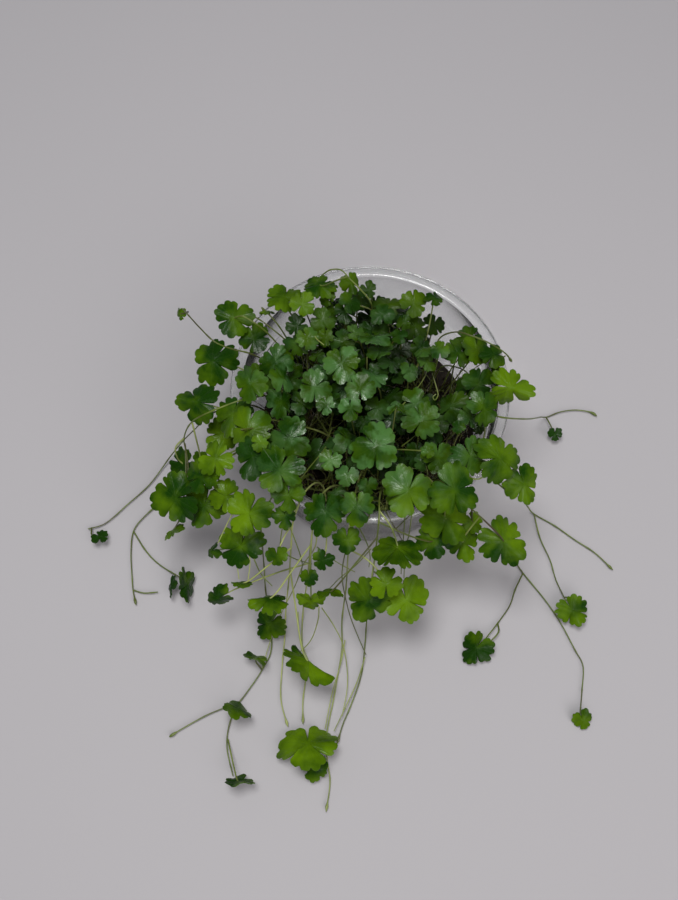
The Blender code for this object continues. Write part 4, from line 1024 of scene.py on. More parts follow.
class BladeForm:
    """The flat lobed outline that blades of one size share, by the number of each ray."""

    def __init__(self, name, lobes, steps, rings):
        rays = []
        number = 0
        for start, end, low_start, low_end, count in lobes:
            is_side = start * end > 0
            for step in range(count * steps):
                share = step / (count * steps)
                rays.append((
                    radians(start + (end - start) * share),
                    low_start + (low_end - low_start) * share,
                    sin(pi * share) ** LOBE_ROUND if step else 0.0,
                    abs(sin(pi * count * share)) ** SCALLOP_ROUND,
                    number + share * count,
                    exp(-((share - CLEFT_PLACE) / CLEFT_WIDTH) ** 2) if is_side else 0.0))
            number += count
        self.angles, self.low, self.hump, self.scallop, self.veins, self.cleft = (
            np.array(values) for values in zip(*rays))
        self.scallops = number
        self.pattern = self.model(name, rings)

    def model(self, name, rings):
        """Model the flat round of faces that every blade is shaped from, with its vein map."""
        rays = len(self.angles)
        clear_selection()
        bpy.ops.mesh.primitive_circle_add(vertices=rays, radius=1.0, fill_type="NGON")
        bpy.ops.object.mode_set(mode="EDIT")
        bpy.ops.mesh.select_all(action="SELECT")
        for _ in range(rings - 1):
            bpy.ops.mesh.inset(thickness=1.0 / rings)
        bpy.ops.mesh.poke()
        bpy.ops.object.mode_set(mode="OBJECT")
        obj = bpy.context.object
        mesh = obj.data
        mesh.name = name
        places = np.empty(len(mesh.vertices) * 3)
        mesh.vertices.foreach_get("co", places)
        places = places.reshape(-1, 3)
        first = atan2(places[0, 1], places[0, 0])
        turn = (np.arctan2(places[:, 1], places[:, 0]) - first) / (2 * pi / rays)
        self.ray = np.rint(turn).astype(int) % rays
        self.share = np.hypot(places[:, 0], places[:, 1])
        self.map_veins(mesh, rays)
        bpy.data.objects.remove(obj)
        return mesh

    def map_veins(self, mesh, rays):
        """Let U count the veins round the blade, and V run from the stalk to the edge."""
        layer = mesh.uv_layers.active or mesh.uv_layers.new(name="UVMap")
        for face in mesh.polygons:
            around = [v for v in face.vertices if self.share[v] > STALK_SHARE]
            crosses = {0, rays - 1} <= {int(self.ray[v]) for v in around}
            numbers = {}
            for v in around:
                wrapped = crosses and self.ray[v] == 0
                numbers[v] = self.scallops if wrapped else self.veins[self.ray[v]]
            middle = sum(numbers.values()) / len(numbers)
            for loop in face.loop_indices:
                v = mesh.loops[loop].vertex_index
                layer.data[loop].uv = (numbers.get(v, middle), self.share[v])


def waved(level, angles, waves, chance):
    """Return a level with waves round a blade added to it, each with its own phase."""
    for count, size in waves:
        level = level + size * np.sin(count * angles + chance.uniform(*PHASE_RANGE))
    return level


def make_blade(blade, form, leaves, seed):
    """Shape one blade from its form: lobed, scalloped, dished, folded and a little uneven."""
    chance = Random(seed)
    mesh = form.pattern.copy()
    low = form.low * chance.uniform(*LOW_RANGE)
    depth = leaves.scallop_depth * chance.uniform(*SCALLOP_RANGE)
    lobe_size = waved(1.0, form.angles, LOBE_WAVES, chance)
    cleft = 1 - LOBE_CLEFT * chance.uniform(*CLEFT_RANGE) * form.cleft
    edge = (low + (1 - low) * form.hump) * (1 - depth * (1 - form.scallop)) * lobe_size * cleft
    reach = blade.radius * BLADE_SPREAD * edge[form.ray] * form.share
    turned = waved(0.0, form.angles, TURN_WAVES, chance)
    angle = (form.angles + turned * np.cos(form.angles / 2))[form.ray]
    ahead = reach * np.cos(angle)
    aside = reach * np.sin(angle)

    vein = np.abs((form.veins[form.ray] % 1.0) - 0.5) * 2
    ridge = leaves.vein_relief / MM * (vein - 0.5)
    ridge = ridge * np.sin(pi * np.minimum(form.share, RIDGE_END))
    phase = chance.uniform(0, 2 * pi)
    ripple = sum(size * np.sin(count * angle + shift * phase) for count, size, shift in RIPPLES)
    wave = leaves.waviness * blade.radius * form.share ** 2 * ripple
    pucker = (leaves.pucker / MM * np.sin(ahead * PUCKERS_AHEAD + phase)
              * np.sin(aside * PUCKERS_ASIDE - phase))
    above = ridge + wave + pucker
    crease = CREASE_SHARE * blade.radius
    soft_side = np.sqrt(aside ** 2 + crease ** 2) - crease
    bowl = BLADE_DISH * chance.uniform(*DISH_RANGE)
    dish = bowl * (ahead ** 2 + aside ** 2) / blade.radius
    fold = blade.fold + radians(chance.uniform(*FOLD_RANGE))
    drop = -soft_side * sin(fold)
    places = (blade.origin + np.outer(ahead, blade.middle)
              + np.outer(aside * cos(fold), blade.side)
              + np.outer(drop + dish + above, blade.normal))
    mesh.vertices.foreach_set("co", (places * MM).ravel())
    obj = bpy.data.objects.new("blade", mesh)
    bpy.context.scene.collection.objects.link(obj)
    set_tone(obj, chance.random())
    return obj


def make_tube(points, radii, tone, sides=ROUND_SIDES):
    """Make a smooth round stem or stalk along a path, as a curve with a bevel."""
    data = bpy.data.curves.new("stalk", "CURVE")
    data.dimensions = "3D"
    data.bevel_depth = MM
    data.bevel_resolution = sides
    data.use_fill_caps = True
    spline = data.splines.new("POLY")
    spline.points.add(len(points) - 1)
    places = np.column_stack((points * MM, np.ones(len(points))))
    spline.points.foreach_set("co", places.ravel())
    spline.points.foreach_set("radius", radii)
    obj = bpy.data.objects.new("stalk", data)
    obj["tone"] = tone
    bpy.context.scene.collection.objects.link(obj)
    return obj


def tubes_as_meshes(tubes):
    """Turn curves into meshes and give each its own tone."""
    pick(*tubes)
    bpy.ops.object.convert(target="MESH")
    for obj in tubes:
        set_tone(obj, obj["tone"])
    return tubes


def stem_radii(points, radius, bud):
    """Return a stem's radius along its length, knotted at its nodes and swollen at its bud."""
    along = np.concatenate(([0], np.cumsum(np.linalg.norm(np.diff(points, axis=0), axis=1))))
    from_knot = along % NODE_SPACING - NODE_SPACING / 2
    knots = 1 + KNOT_SWELL * np.exp(-(from_knot / KNOT_LENGTH) ** 2)
    taper = 1 - STEM_TAPER * along / along[-1]
    radii = radius * knots * taper
    if bud:
        from_tip = along[-1] - along
        swell = BUD_NECK + BUD_SWELL * np.sin(pi * np.clip(from_tip / BUD_LENGTH, 0, 1))
        radii = np.where(from_tip < BUD_LENGTH, radius * swell, radii)
        radii[-1] = radius * BUD_TIP
    return radii


def tapered(path, width, taper):
    """Return the radius along a path that runs evenly from one share of a width to another."""
    return np.linspace(*taper, len(path)) * width / 2 / MM


def make_stalks(stem, seed, stems, material):
    """Make a stem, its branches, its leaf stalks, its shoots and its fine bare stems as one."""
    trailing = not stem.name.startswith("creeping")
    chance = Random(seed)
    tip = stem.axis[-1]
    bud = trailing and not any(
        np.linalg.norm(blade.origin - tip) < TIP_CLEARANCE for blade, _ in stem.stalks)
    tone = STEM_TONES.get(stem.name, STEM_TONE)
    width = stems.trail_width if trailing else stems.runner_width
    path = smooth_path(stem.axis, STEM_STEPS)
    tubes = [make_tube(path, stem_radii(path, width / 2 / MM, bud), tone)]
    for branch in stem.branches:
        path = smooth_path(branch, STEM_STEPS)
        tubes.append(make_tube(path, stem_radii(path, stems.stalk_width / 2 / MM, False), tone))
    for _, way in stem.stalks:
        path = smooth_path(way, STALK_STEPS)
        radii = tapered(path, stems.stalk_width, STALK_TAPER)
        radii[-2:] *= STALK_FLARE
        own_tone = min(1.0, max(0.0, tone + chance.uniform(*STALK_TONES)))
        tubes.append(make_tube(path, radii, own_tone))
    for shoot in SHOOTS:
        if shoot.stem == stem.name:
            path = smooth_path(np.array([spot(*point) for point in shoot.route]), STEM_STEPS)
            radii = tapered(path, stems.shoot_width, SHOOT_TAPER)
            tubes.append(make_tube(path, radii, shoot.tone))
    for name, fine_tone, way in planned_tangle():
        if name == stem.name:
            radii = tapered(way, stems.shoot_width, TANGLE_TAPER)
            tubes.append(make_tube(way, radii, fine_tone, TANGLE_SIDES))
    stalks = joined("stalks", tubes_as_meshes(tubes))
    stalks.data.materials.append(material)
    return stalks


def make_foliage(stem, seed, leaves, material):
    """Make all the blades of a stem as one thin mesh."""
    blades = []
    for number, (blade, _) in enumerate(stem.stalks):
        form = large_form() if blade.leaf.width >= SMALL_LEAF else small_form()
        blades.append(make_blade(blade, form, leaves, seed * BLADES_PER_STEM + number))
    foliage = joined("foliage", blades)
    foliage.data.materials.append(material)
    thick = foliage.modifiers.new("Blade thickness", "SOLIDIFY")
    thick.thickness = leaves.thickness
    thick.offset = 0
    apply_modifiers(foliage)
    return foliage


def make_plant_piece(stem, seed, leaves, stems, leaf_material, stalk_material):
    """Make one stem with its branches, stalks and fine leaves, and put it in its node's place."""
    parts = [make_stalks(stem, seed, stems, stalk_material)]
    if stem.stalks:
        parts.insert(0, make_foliage(stem, seed, leaves, leaf_material))
    return finish_piece(joined("leafy_" + stem.name, parts), stem.name)


def finish_piece(piece, node):
    """Shade a piece, ride it on the body and put it in its node's place."""
    pick(piece)
    bpy.ops.object.shade_smooth_by_angle(angle=radians(SMOOTH_ANGLE))
    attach(piece, BODY)
    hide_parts(node)
    return piece


@lru_cache
def large_form():
    """Return the form of the well grown blades."""
    return BladeForm("large blade", LARGE_LOBES, SCALLOP_STEPS, LARGE_RINGS)


@lru_cache
def small_form():
    """Return the form of the small young blades."""
    return BladeForm("small blade", SMALL_LOBES, SMALL_SCALLOP_STEPS, SMALL_RINGS)


def corner(radius, height, size, start, end):
    """Return the points of a round corner of the jar's section, by its centre and angles."""
    return [(radius + size * cos(radians(turn)), height + size * sin(radians(turn)))
            for turn in np.linspace(start, end, CORNER_STEPS)]


def jar_section():
    """Return the wall's section from its foot, over the rolled lip and down to the floor."""
    neck = LIP_RADIUS - LIP_WIDTH
    flange_low = JAR_HEIGHT - FLANGE_THICKNESS
    skirt_inside = LIP_RADIUS - SKIRT_THICKNESS
    skirt_low = JAR_HEIGHT - LIP_DROP
    outside = corner(BASE_RADIUS - FOOT_ROUND, FOOT_ROUND, FOOT_ROUND, -90, 0)
    outside += [(STEP_RADIUS + out, STEP_HEIGHT + up) for out, up in STEP_OUTSIDE]
    outside += [(neck - NECK_SLOPE, flange_low - NECK_DROP)]
    outside += corner(neck - NECK_SLOPE + NECK_ROUND, flange_low - NECK_ROUND, NECK_ROUND, 180, 90)
    outside += corner(skirt_inside - FLANGE_ROUND, flange_low - FLANGE_ROUND, FLANGE_ROUND, 90, 0)
    outside += corner(skirt_inside + SKIRT_ROUND, skirt_low + SKIRT_ROUND, SKIRT_ROUND, 180, 360)
    outside += corner(LIP_RADIUS - LIP_ROUND, JAR_HEIGHT - LIP_ROUND, LIP_ROUND, 0, 90)
    inside = corner(neck + LIP_INSET, JAR_HEIGHT - LIP_ROUND, LIP_ROUND, 90, 170)
    inside += [(STEP_RADIUS - WALL + out, STEP_HEIGHT + up) for out, up in STEP_INSIDE]
    inside += corner(BASE_RADIUS - WALL - FLOOR_INSET, FLOOR + FOOT_ROUND, FOOT_ROUND, 0, -90)
    return outside + inside + [(BASE_RADIUS * share, FLOOR) for share in FLOOR_SHARES]


def select_top(obj):
    """Go into edit mode with only the faces selected that look up."""
    bpy.ops.object.mode_set(mode="EDIT")
    bpy.ops.mesh.select_mode(type="FACE")
    bpy.ops.mesh.select_all(action="DESELECT")
    bpy.ops.object.mode_set(mode="OBJECT")
    for face in obj.data.polygons:
        face.select = face.normal.z > FACES_UP
    bpy.ops.object.mode_set(mode="EDIT")


def make_jar(jar):
    """Turn the clear jar up from its foot, ring by ring, over its lip and down inside."""
    section = jar_section()
    clear_selection()
    bpy.ops.mesh.primitive_cylinder_add(vertices=jar.segments, radius=section[0][0] * MM,
                                        depth=FOOT_DEPTH * MM,
                                        location=(0, 0, FOOT_DEPTH / 2 * MM))
    obj = bpy.context.object
    obj.name = "clear_jar"
    bpy.ops.object.transform_apply(location=True)
    select_top(obj)
    radius, height = section[0][0], FOOT_DEPTH
    for next_radius, next_height in section[1:]:
        rise = (0, 0, (next_height - height) * MM)
        bpy.ops.mesh.extrude_region_move(TRANSFORM_OT_translate={"value": rise})
        ratio = next_radius / radius
        bpy.ops.transform.resize(value=(ratio, ratio, 1))
        radius, height = next_radius, next_height
    bpy.ops.object.mode_set(mode="OBJECT")
    obj.data.materials.append(clear_plastic(jar))
    piece = finish_piece(obj, "jar")
    return piece


def soil_height(x, y, soil):
    """Return how far the crumbly surface stands above or below the soil's mean level, in mm."""
    broad = noise.noise(Vector((x * BROAD_LUMPS, y * BROAD_LUMPS, BROAD_SLICE)))
    fine = noise.fractal(Vector((x * FINE_LUMPS, y * FINE_LUMPS, FINE_SLICE)), *FINE_FRACTAL)
    return soil.lump / MM * (BROAD_SHARE * broad + FINE_SHARE * fine) - SOIL_SINK


def make_bed(soil, high):
    """Make the bed of soil, wider at its top than at its foot, with a crumbly top."""
    low = BASE_RADIUS - WALL - GAP - SOIL_EDGE
    bottom = FLOOR + GAP
    clear_selection()
    bpy.ops.mesh.primitive_cylinder_add(vertices=SOIL_SIDES, radius=low * MM,
                                        depth=(SOIL_TOP - bottom) * MM,
                                        location=(0, 0, (SOIL_TOP + bottom) / 2 * MM))
    bed = bpy.context.object
    bpy.ops.object.transform_apply(location=True)
    select_top(bed)
    bpy.ops.transform.resize(value=(high / low, high / low, 1))
    for _ in range(SOIL_RINGS - 1):
        bpy.ops.mesh.inset(thickness=high / SOIL_RINGS * MM)
    bpy.ops.mesh.poke()
    bpy.ops.object.mode_set(mode="OBJECT")
    for vertex in bed.data.vertices:
        x, y, z = vertex.co / MM
        if z > SOIL_TOP - TOP_MARGIN and hypot(x, y) < high - SOIL_EDGE:
            vertex.co.z += soil_height(x, y, soil) * MM
    return bed


def make_crumbs(soil, high):
    """Scatter loose crumbs over the bed, each a little different, and join them."""
    chance = Random(CRUMB_SEED)
    clear_selection()
    bpy.ops.mesh.primitive_ico_sphere_add(subdivisions=1, radius=1.0)
    grain = bpy.context.object
    crumbs = []
    for _ in range(soil.crumbs):
        span = (high - CRUMB_MARGIN) * chance.random() ** 0.5
        place = direction(chance.uniform(0, 360)) * span
        size = soil.crumb_size / MM / 2 * chance.uniform(*CRUMB_SIZES)
        rest = SOIL_TOP + soil_height(place[0], place[1], soil) + CRUMB_LIFT * size
        mesh = grain.data.copy()
        for vertex in mesh.vertices:
            rough = size * chance.uniform(*CRUMB_ROUGHNESS)
            vertex.co = Vector((place + vertex.co * rough + np.array((0, 0, rest)))) * MM
        crumb = bpy.data.objects.new("crumb", mesh)
        bpy.context.scene.collection.objects.link(crumb)
        crumbs.append(crumb)
    bpy.data.objects.remove(grain)
    return joined("crumbs", crumbs)


def make_soil(soil):
    """Make the layer of soil: its bed and the loose crumbs on it."""
    wall_share = (SOIL_TOP - FLOOR) / (STEP_HEIGHT - FLOOR)
    high = BASE_RADIUS - WALL - GAP + (STEP_RADIUS - BASE_RADIUS) * wall_share
    bed = make_bed(soil, high)
    heap = make_crumbs(soil, high)
    material = dark_soil(soil)
    heap.data.materials.append(material)
    bed.data.materials.append(material)
    pick(bed, heap)
    bpy.ops.object.join()
    bed.name = "crumbly_soil"
    piece = finish_piece(bed, "soil")
    return piece


def add_node(tree, kind, **settings):
    """Add a node to a tree and set its properties."""
    made = tree.nodes.new(kind)
    for name, value in settings.items():
        setattr(made, name, value)
    return made


def feed(tree, node, **inputs):
    """Set a node's inputs by name, with a value or with another node's output."""
    for name, value in inputs.items():
        socket = node.inputs[name.replace("_", " ")]
        if isinstance(value, bpy.types.NodeSocket):
            tree.links.new(value, socket)
        else:
            socket.default_value = value
    return node


def calculate(tree, operation, *values):
    """Add a maths node and return its output."""
    made = add_node(tree, "ShaderNodeMath", operation=operation)
    for socket, value in zip(made.inputs, values):
        if isinstance(value, bpy.types.NodeSocket):
            tree.links.new(value, socket)
        else:
            socket.default_value = value
    return made.outputs[0]


def clamped(tree, value):
    """Return a value held between 0 and 1."""
    return calculate(tree, "MINIMUM", calculate(tree, "MAXIMUM", value, 0.0), 1.0)


def remaining(tree, value):
    """Return what is left of 1 without a value."""
    return calculate(tree, "SUBTRACT", 1.0, value)


def blend_colours(tree, share, first, second):
    """Mix two colours by a share, from the Mix node's own colour sockets."""
    mix = add_node(tree, "ShaderNodeMix", data_type="RGBA")
    for index, value in ((0, share), (6, first), (7, second)):
        if isinstance(value, bpy.types.NodeSocket):
            tree.links.new(value, mix.inputs[index])
        else:
            mix.inputs[index].default_value = (*value, 1.0)
    return mix.outputs[2]


def new_group(name, inputs, outputs):
    """Start a shader node group with named inputs and outputs."""
    group = bpy.data.node_groups.new(name, "ShaderNodeTree")
    for label, kind, default in inputs:
        socket = group.interface.new_socket(name=label, in_out="INPUT", socket_type=kind)
        socket.default_value = default
    for label, kind in outputs:
        group.interface.new_socket(name=label, in_out="OUTPUT", socket_type=kind)
    return group, add_node(group, "NodeGroupInput"), add_node(group, "NodeGroupOutput")


@lru_cache
def patchy_growth():
    """Return the group that gives soft patches on Object coordinates, from 0 to 1."""
    group, given, result = new_group(
        "Patchy growth",
        [("Scale", "NodeSocketFloat", 120.0), ("Contrast", "NodeSocketFloat", 2.0)],
        [("Patches", "NodeSocketFloat")])
    place = add_node(group, "ShaderNodeTexCoord")
    cloud = add_node(group, "ShaderNodeTexNoise")
    feed(group, cloud, Vector=place.outputs["Object"], Scale=given.outputs["Scale"], Detail=3.0)
    centred = calculate(group, "SUBTRACT", cloud.outputs["Fac"], 0.5)
    spread = calculate(group, "MULTIPLY", centred, given.outputs["Contrast"])
    shifted = calculate(group, "ADD", spread, 0.5)
    group.links.new(clamped(group, shifted), result.inputs["Patches"])
    return group


@lru_cache
def fine_relief():
    """Return the group that gives a fine uneven relief as a normal."""
    group, given, result = new_group(
        "Fine relief",
        [("Scale", "NodeSocketFloat", 900.0), ("Depth", "NodeSocketFloat", 0.2),
         ("Extra height", "NodeSocketFloat", 0.0)],
        [("Normal", "NodeSocketVector")])
    place = add_node(group, "ShaderNodeTexCoord")
    grain = add_node(group, "ShaderNodeTexNoise")
    feed(group, grain, Vector=place.outputs["Object"], Scale=given.outputs["Scale"], Detail=2.0)
    bump = add_node(group, "ShaderNodeBump")
    height = calculate(group, "ADD", grain.outputs["Fac"], given.outputs["Extra height"])
    feed(group, bump, Strength=given.outputs["Depth"], Distance=RELIEF_DISTANCE, Height=height)
    group.links.new(bump.outputs["Normal"], result.inputs["Normal"])
    return group


def off_middle(tree, count):
    """Return how far a count is from halfway between two whole numbers."""
    return calculate(tree, "ABSOLUTE", calculate(tree, "SUBTRACT",
                     calculate(tree, "FRACT", count), 0.5))


@lru_cache
def leaf_veins():
    """Return the group that draws a blade's veins: U counts them, V runs from stalk to edge."""
    group, given, result = new_group(
        "Leaf veins",
        [("Width", "NodeSocketFloat", 0.05), ("Side veins", "NodeSocketFloat", 7.0)],
        [("Vein", "NodeSocketFloat"), ("Edge", "NodeSocketFloat")])
    chart = add_node(group, "ShaderNodeUVMap", uv_map="UVMap")
    parts = add_node(group, "ShaderNodeSeparateXYZ")
    group.links.new(chart.outputs["UV"], parts.inputs[0])
    around, along = parts.outputs["X"], parts.outputs["Y"]
    beside = off_middle(group, around)
    distance = calculate(group, "MULTIPLY", beside, along)
    widths = calculate(group, "DIVIDE", distance, given.outputs["Width"])
    main = remaining(group, calculate(group, "MINIMUM", 1.0, widths))
    slanted = calculate(group, "SUBTRACT", along, calculate(group, "MULTIPLY", beside, SIDE_SLANT))
    counted = calculate(group, "MULTIPLY", slanted, given.outputs["Side veins"])
    off_line = calculate(group, "MULTIPLY", off_middle(group, counted), SIDE_SHARPNESS)
    side = remaining(group, calculate(group, "MINIMUM", 1.0, off_line))
    faint = calculate(group, "MULTIPLY", side, SIDE_FAINTNESS)
    group.links.new(calculate(group, "MAXIMUM", main, faint), result.inputs["Vein"])
    group.links.new(calculate(group, "POWER", along, EDGE_POWER), result.inputs["Edge"])
    return group


@lru_cache
def heart_of_plant():
    """Return the group that is 1 in the middle of the plant and falls to 0 a reach away."""
    group, given, result = new_group(
        "Heart of the plant",
        [("Centre", "NodeSocketVector", (0.0, 0.0, 0.0)), ("Reach", "NodeSocketFloat", 0.04)],
        [("Inner", "NodeSocketFloat")])
    place = add_node(group, "ShaderNodeTexCoord")
    away = add_node(group, "ShaderNodeVectorMath", operation="DISTANCE")
    group.links.new(place.outputs["Object"], away.inputs[0])
    group.links.new(given.outputs["Centre"], away.inputs[1])
    share = calculate(group, "DIVIDE", away.outputs["Value"], given.outputs["Reach"])
    fallen = calculate(group, "MULTIPLY", share, HEART_FALL)
    left = calculate(group, "SUBTRACT", HEART_FALL, fallen)
    group.links.new(clamped(group, left), result.inputs["Inner"])
    return group


@lru_cache
def depth_in_jar():
    """Return the painted shade's group, that grows from 0 at the canopy to 1 a drop below it,
    inside the jar.
    """
    group, given, result = new_group(
        "Depth in the jar", [("Top", "NodeSocketFloat", 0.066), ("Drop", "NodeSocketFloat", 0.03)],
        [("Depth", "NodeSocketFloat")])
    parts = add_node(group, "ShaderNodeSeparateXYZ")
    group.links.new(add_node(group, "ShaderNodeTexCoord").outputs["Object"], parts.inputs[0])
    x, y, z = parts.outputs
    across = calculate(group, "ADD", calculate(group, "MULTIPLY", x, x),
                       calculate(group, "MULTIPLY", y, y))
    within = calculate(group, "LESS_THAN", calculate(group, "SQRT", across),
                       (LIP_RADIUS - SHADE_INSET) * MM)
    below = calculate(group, "DIVIDE", calculate(group, "SUBTRACT", given.outputs["Top"], z),
                      given.outputs["Drop"])
    group.links.new(calculate(group, "MULTIPLY", clamped(group, below), within),
                    result.inputs["Depth"])
    return group


def use_group(tree, group, **inputs):
    """Place a node group in a material with its own values."""
    made = add_node(tree, "ShaderNodeGroup", node_tree=group)
    return feed(tree, made, **inputs)


def new_material(name, roughness, **values):
    """Start a material and return it with its tree and shader."""
    material = bpy.data.materials.new(name)
    material.use_nodes = True
    tree = material.node_tree
    shader = tree.nodes["Principled BSDF"]
    feed(tree, shader, Roughness=roughness, **values)
    return material, tree, shader


def leaf_finish(name, leaves, lime_share, in_jar):
    """Make the leaves' finish: deep to lime green by leaf, the lime partly a painted glow of light
    through the blades, a painted bluish sheen, veins and edge.
    """
    material, tree, shader = new_material(
        name, roughness=leaves.roughness, Specular_IOR_Level=leaves.shine,
        Coat_Roughness=leaves.sheen_roughness, Coat_IOR=COAT_INDEX)
    tone = add_node(tree, "ShaderNodeAttribute", attribute_name="tone").outputs["Fac"]
    broad = use_group(tree, patchy_growth(), Scale=85.0, Contrast=3.0).outputs["Patches"]
    small = use_group(tree, patchy_growth(), Scale=230.0, Contrast=5.0).outputs["Patches"]
    cloudy = use_group(tree, patchy_growth(), Scale=135.0, Contrast=9.0).outputs["Patches"]
    veins = use_group(tree, leaf_veins(), Width=0.03, Side_veins=6.0)
    painted_sheen_area = use_group(tree, heart_of_plant(), Centre=leaves.painted_sheen_centre,
                        Reach=leaves.painted_sheen_reach).outputs["Inner"]

    # Limeness by leaf and in broad patches: partly the leaves' own lime, partly a painted glow of
    # light shining through the blades
    varied = calculate(tree, "ADD", tone, calculate(tree, "MULTIPLY", broad, LIME_PATCHES))
    varied = calculate(tree, "MAXIMUM", calculate(tree, "SUBTRACT", varied, LIME_START), 0.0)
    limeness = calculate(tree, "MULTIPLY", calculate(tree, "MINIMUM", varied, LIME_LIMIT),
                         lime_share)
    # Painted sheen: bluish-green patches in the middle of the plant stand in for light reflected on
    # the leaves, and the lime is lessened there
    outside_painted_sheen = remaining(tree, calculate(tree, "MULTIPLY", painted_sheen_area, LIME_LOST))
    limeness = calculate(tree, "MULTIPLY", limeness, outside_painted_sheen)
    base = blend_colours(tree, limeness, leaves.deep_green, leaves.lime_green)
    painted_sheen = calculate(tree, "MULTIPLY", calculate(tree, "MULTIPLY", cloudy, painted_sheen_area), leaves.painted_sheen)
    base = blend_colours(tree, painted_sheen, base, leaves.painted_sheen_green)
    vein_share = calculate(tree, "MULTIPLY", veins.outputs["Vein"], VEIN_SHARE)
    base = blend_colours(tree, vein_share, base, leaves.vein_green)
    edge_share = calculate(tree, "MULTIPLY", veins.outputs["Edge"], EDGE_SHARE)
    base = blend_colours(tree, edge_share, base, leaves.edge_green)
    # Painted shade: the leaves low in the jar are darkened towards the shade green, standing in for
    # the shade of the leaves above
    if in_jar:
        depth = use_group(tree, depth_in_jar(), Top=leaves.shade_top, Drop=leaves.shade_drop)
        shade = calculate(tree, "MULTIPLY", depth.outputs["Depth"], leaves.shade)
        base = blend_colours(tree, shade, base, leaves.shade_green)

    sunk = calculate(tree, "MULTIPLY", veins.outputs["Vein"], VEIN_SUNK)
    relief = use_group(tree, fine_relief(), Scale=330.0, Depth=1.0, Extra_height=sunk)
    roughness = calculate(tree, "SUBTRACT", leaves.roughness + LEAF_ROUGHER,
                          calculate(tree, "MULTIPLY", small, LEAF_SMOOTHER))
    waxy = calculate(tree, "ADD", calculate(tree, "MULTIPLY", cloudy, 1 - LEAST_WAX), LEAST_WAX)
    waxy = calculate(tree, "MULTIPLY", calculate(tree, "MULTIPLY", waxy, small), leaves.sheen)
    inward = calculate(tree, "MULTIPLY", painted_sheen_area, 1 - LEAST_SHEEN)
    sheen = calculate(tree, "MULTIPLY", waxy, calculate(tree, "ADD", inward, LEAST_SHEEN))
    feed(tree, shader, Base_Color=base, Normal=relief.outputs["Normal"], Roughness=roughness,
         Coat_Weight=sheen, Coat_Normal=relief.outputs["Normal"])
    return material


def stalk_finish(stems):
    """Make the stems' finish: brown, olive or cream by their tone, uneven along their length."""
    material, tree, shader = new_material("Stem green", roughness=0.38)
    tone = add_node(tree, "ShaderNodeAttribute", attribute_name="tone").outputs["Fac"]
    patches = use_group(tree, patchy_growth(), Scale=95.0, Contrast=2.5).outputs["Patches"]
    centred = calculate(tree, "SUBTRACT", patches, 0.5)
    shifted = calculate(tree, "ADD", tone, calculate(tree, "MULTIPLY", centred, STEM_PATCHES))
    ramp = add_node(tree, "ShaderNodeValToRGB")
    tree.links.new(shifted, ramp.inputs["Fac"])
    low, high = ramp.color_ramp.elements
    low.position, low.color = BROWN_PLACE, (*stems.brown, 1)
    high.position, high.color = CREAM_PLACE, (*stems.cream, 1)
    middle = ramp.color_ramp.elements.new(OLIVE_PLACE)
    middle.color = (*stems.olive, 1)
    relief = use_group(tree, fine_relief(), Scale=2200.0, Depth=0.25, Extra_height=0.0)
    feed(tree, shader, Base_Color=ramp.outputs["Color"], Normal=relief.outputs["Normal"])
    return material


def dark_soil(soil):
    """Make the soil's near-black finish, darkened to serve as painted shade in the gaps below the
    leaves.
    """
    material, tree, shader = new_material("Near black soil with painted shade", roughness=0.85,
                                          Specular_IOR_Level=0.15)
    patches = use_group(tree, patchy_growth(), Scale=420.0, Contrast=3.0).outputs["Patches"]
    base = blend_colours(tree, patches, soil.dark, soil.pale)
    relief = use_group(tree, fine_relief(), Scale=1300.0, Depth=0.9, Extra_height=0.0)
    feed(tree, shader, Base_Color=base, Normal=relief.outputs["Normal"])
    return material


def clear_plastic(jar):
    """Make the clear plastic of the jar, a little hazy in patches, that lets the light in."""
    material, tree, shader = new_material(
        "Clear moulded plastic", roughness=jar.roughness, Base_Color=(*jar.tint, 1.0),
        IOR=jar.index, Transmission_Weight=jar.clearness)
    patches = use_group(tree, patchy_growth(), Scale=60.0, Contrast=2.0).outputs["Patches"]
    haze = calculate(tree, "ADD", jar.roughness,
                     calculate(tree, "MULTIPLY", patches, HAZE_PATCHES))
    feed(tree, shader, Roughness=haze)
    light = add_node(tree, "ShaderNodeLightPath")
    passed = add_node(tree, "ShaderNodeBsdfTransparent")
    passed.inputs["Color"].default_value = PASSED_LIGHT
    mixed = add_node(tree, "ShaderNodeMixShader")
    tree.links.new(light.outputs["Is Shadow Ray"], mixed.inputs["Fac"])
    tree.links.new(shader.outputs["BSDF"], mixed.inputs[1])
    tree.links.new(passed.outputs["BSDF"], mixed.inputs[2])
    tree.links.new(mixed.outputs["Shader"], tree.nodes["Material Output"].inputs["Surface"])
    return material


def pale_floor(stage):
    """Make the plain pale floor's finish."""
    material, tree, shader = new_material("Pale floor", roughness=0.75)
    patches = use_group(tree, patchy_growth(), Scale=2.5, Contrast=0.8).outputs["Patches"]
    shade = tuple(FLOOR_PATCHES * value for value in stage.floor_colour)
    feed(tree, shader, Base_Color=blend_colours(tree, patches, stage.floor_colour, shade))
    return material


def colour_property(name, description, default):
    """Return a colour property with its name, description and default."""
    return FloatVectorProperty(name=name, description=description, default=default, size=3,
                               subtype="COLOR", min=0.0, max=1.0)


def length_property(name, description, default):
    """Return a length property in metres from a default in millimetres."""
    return FloatProperty(name=name, description=description, default=default * MM, min=0.0,
                         subtype="DISTANCE", unit="LENGTH", precision=5)


class JarSettings(bpy.types.PropertyGroup):
    """The clear jar."""

    segments: IntProperty(name="Segments", description="Faces round the jar", default=256, min=32)
    tint: colour_property("Tint", "Colour of the clear plastic", (0.975, 0.985, 0.985))
    roughness: FloatProperty(name="Haze", description="Roughness of the plastic", default=0.09,
                             min=0.0)
    clearness: FloatProperty(name="Clearness", description="How clear the plastic is", default=0.98,
                             min=0.0, max=1.0, subtype="FACTOR")
    index: FloatProperty(name="Refraction", description="Refractive index", default=1.42, min=1.0)


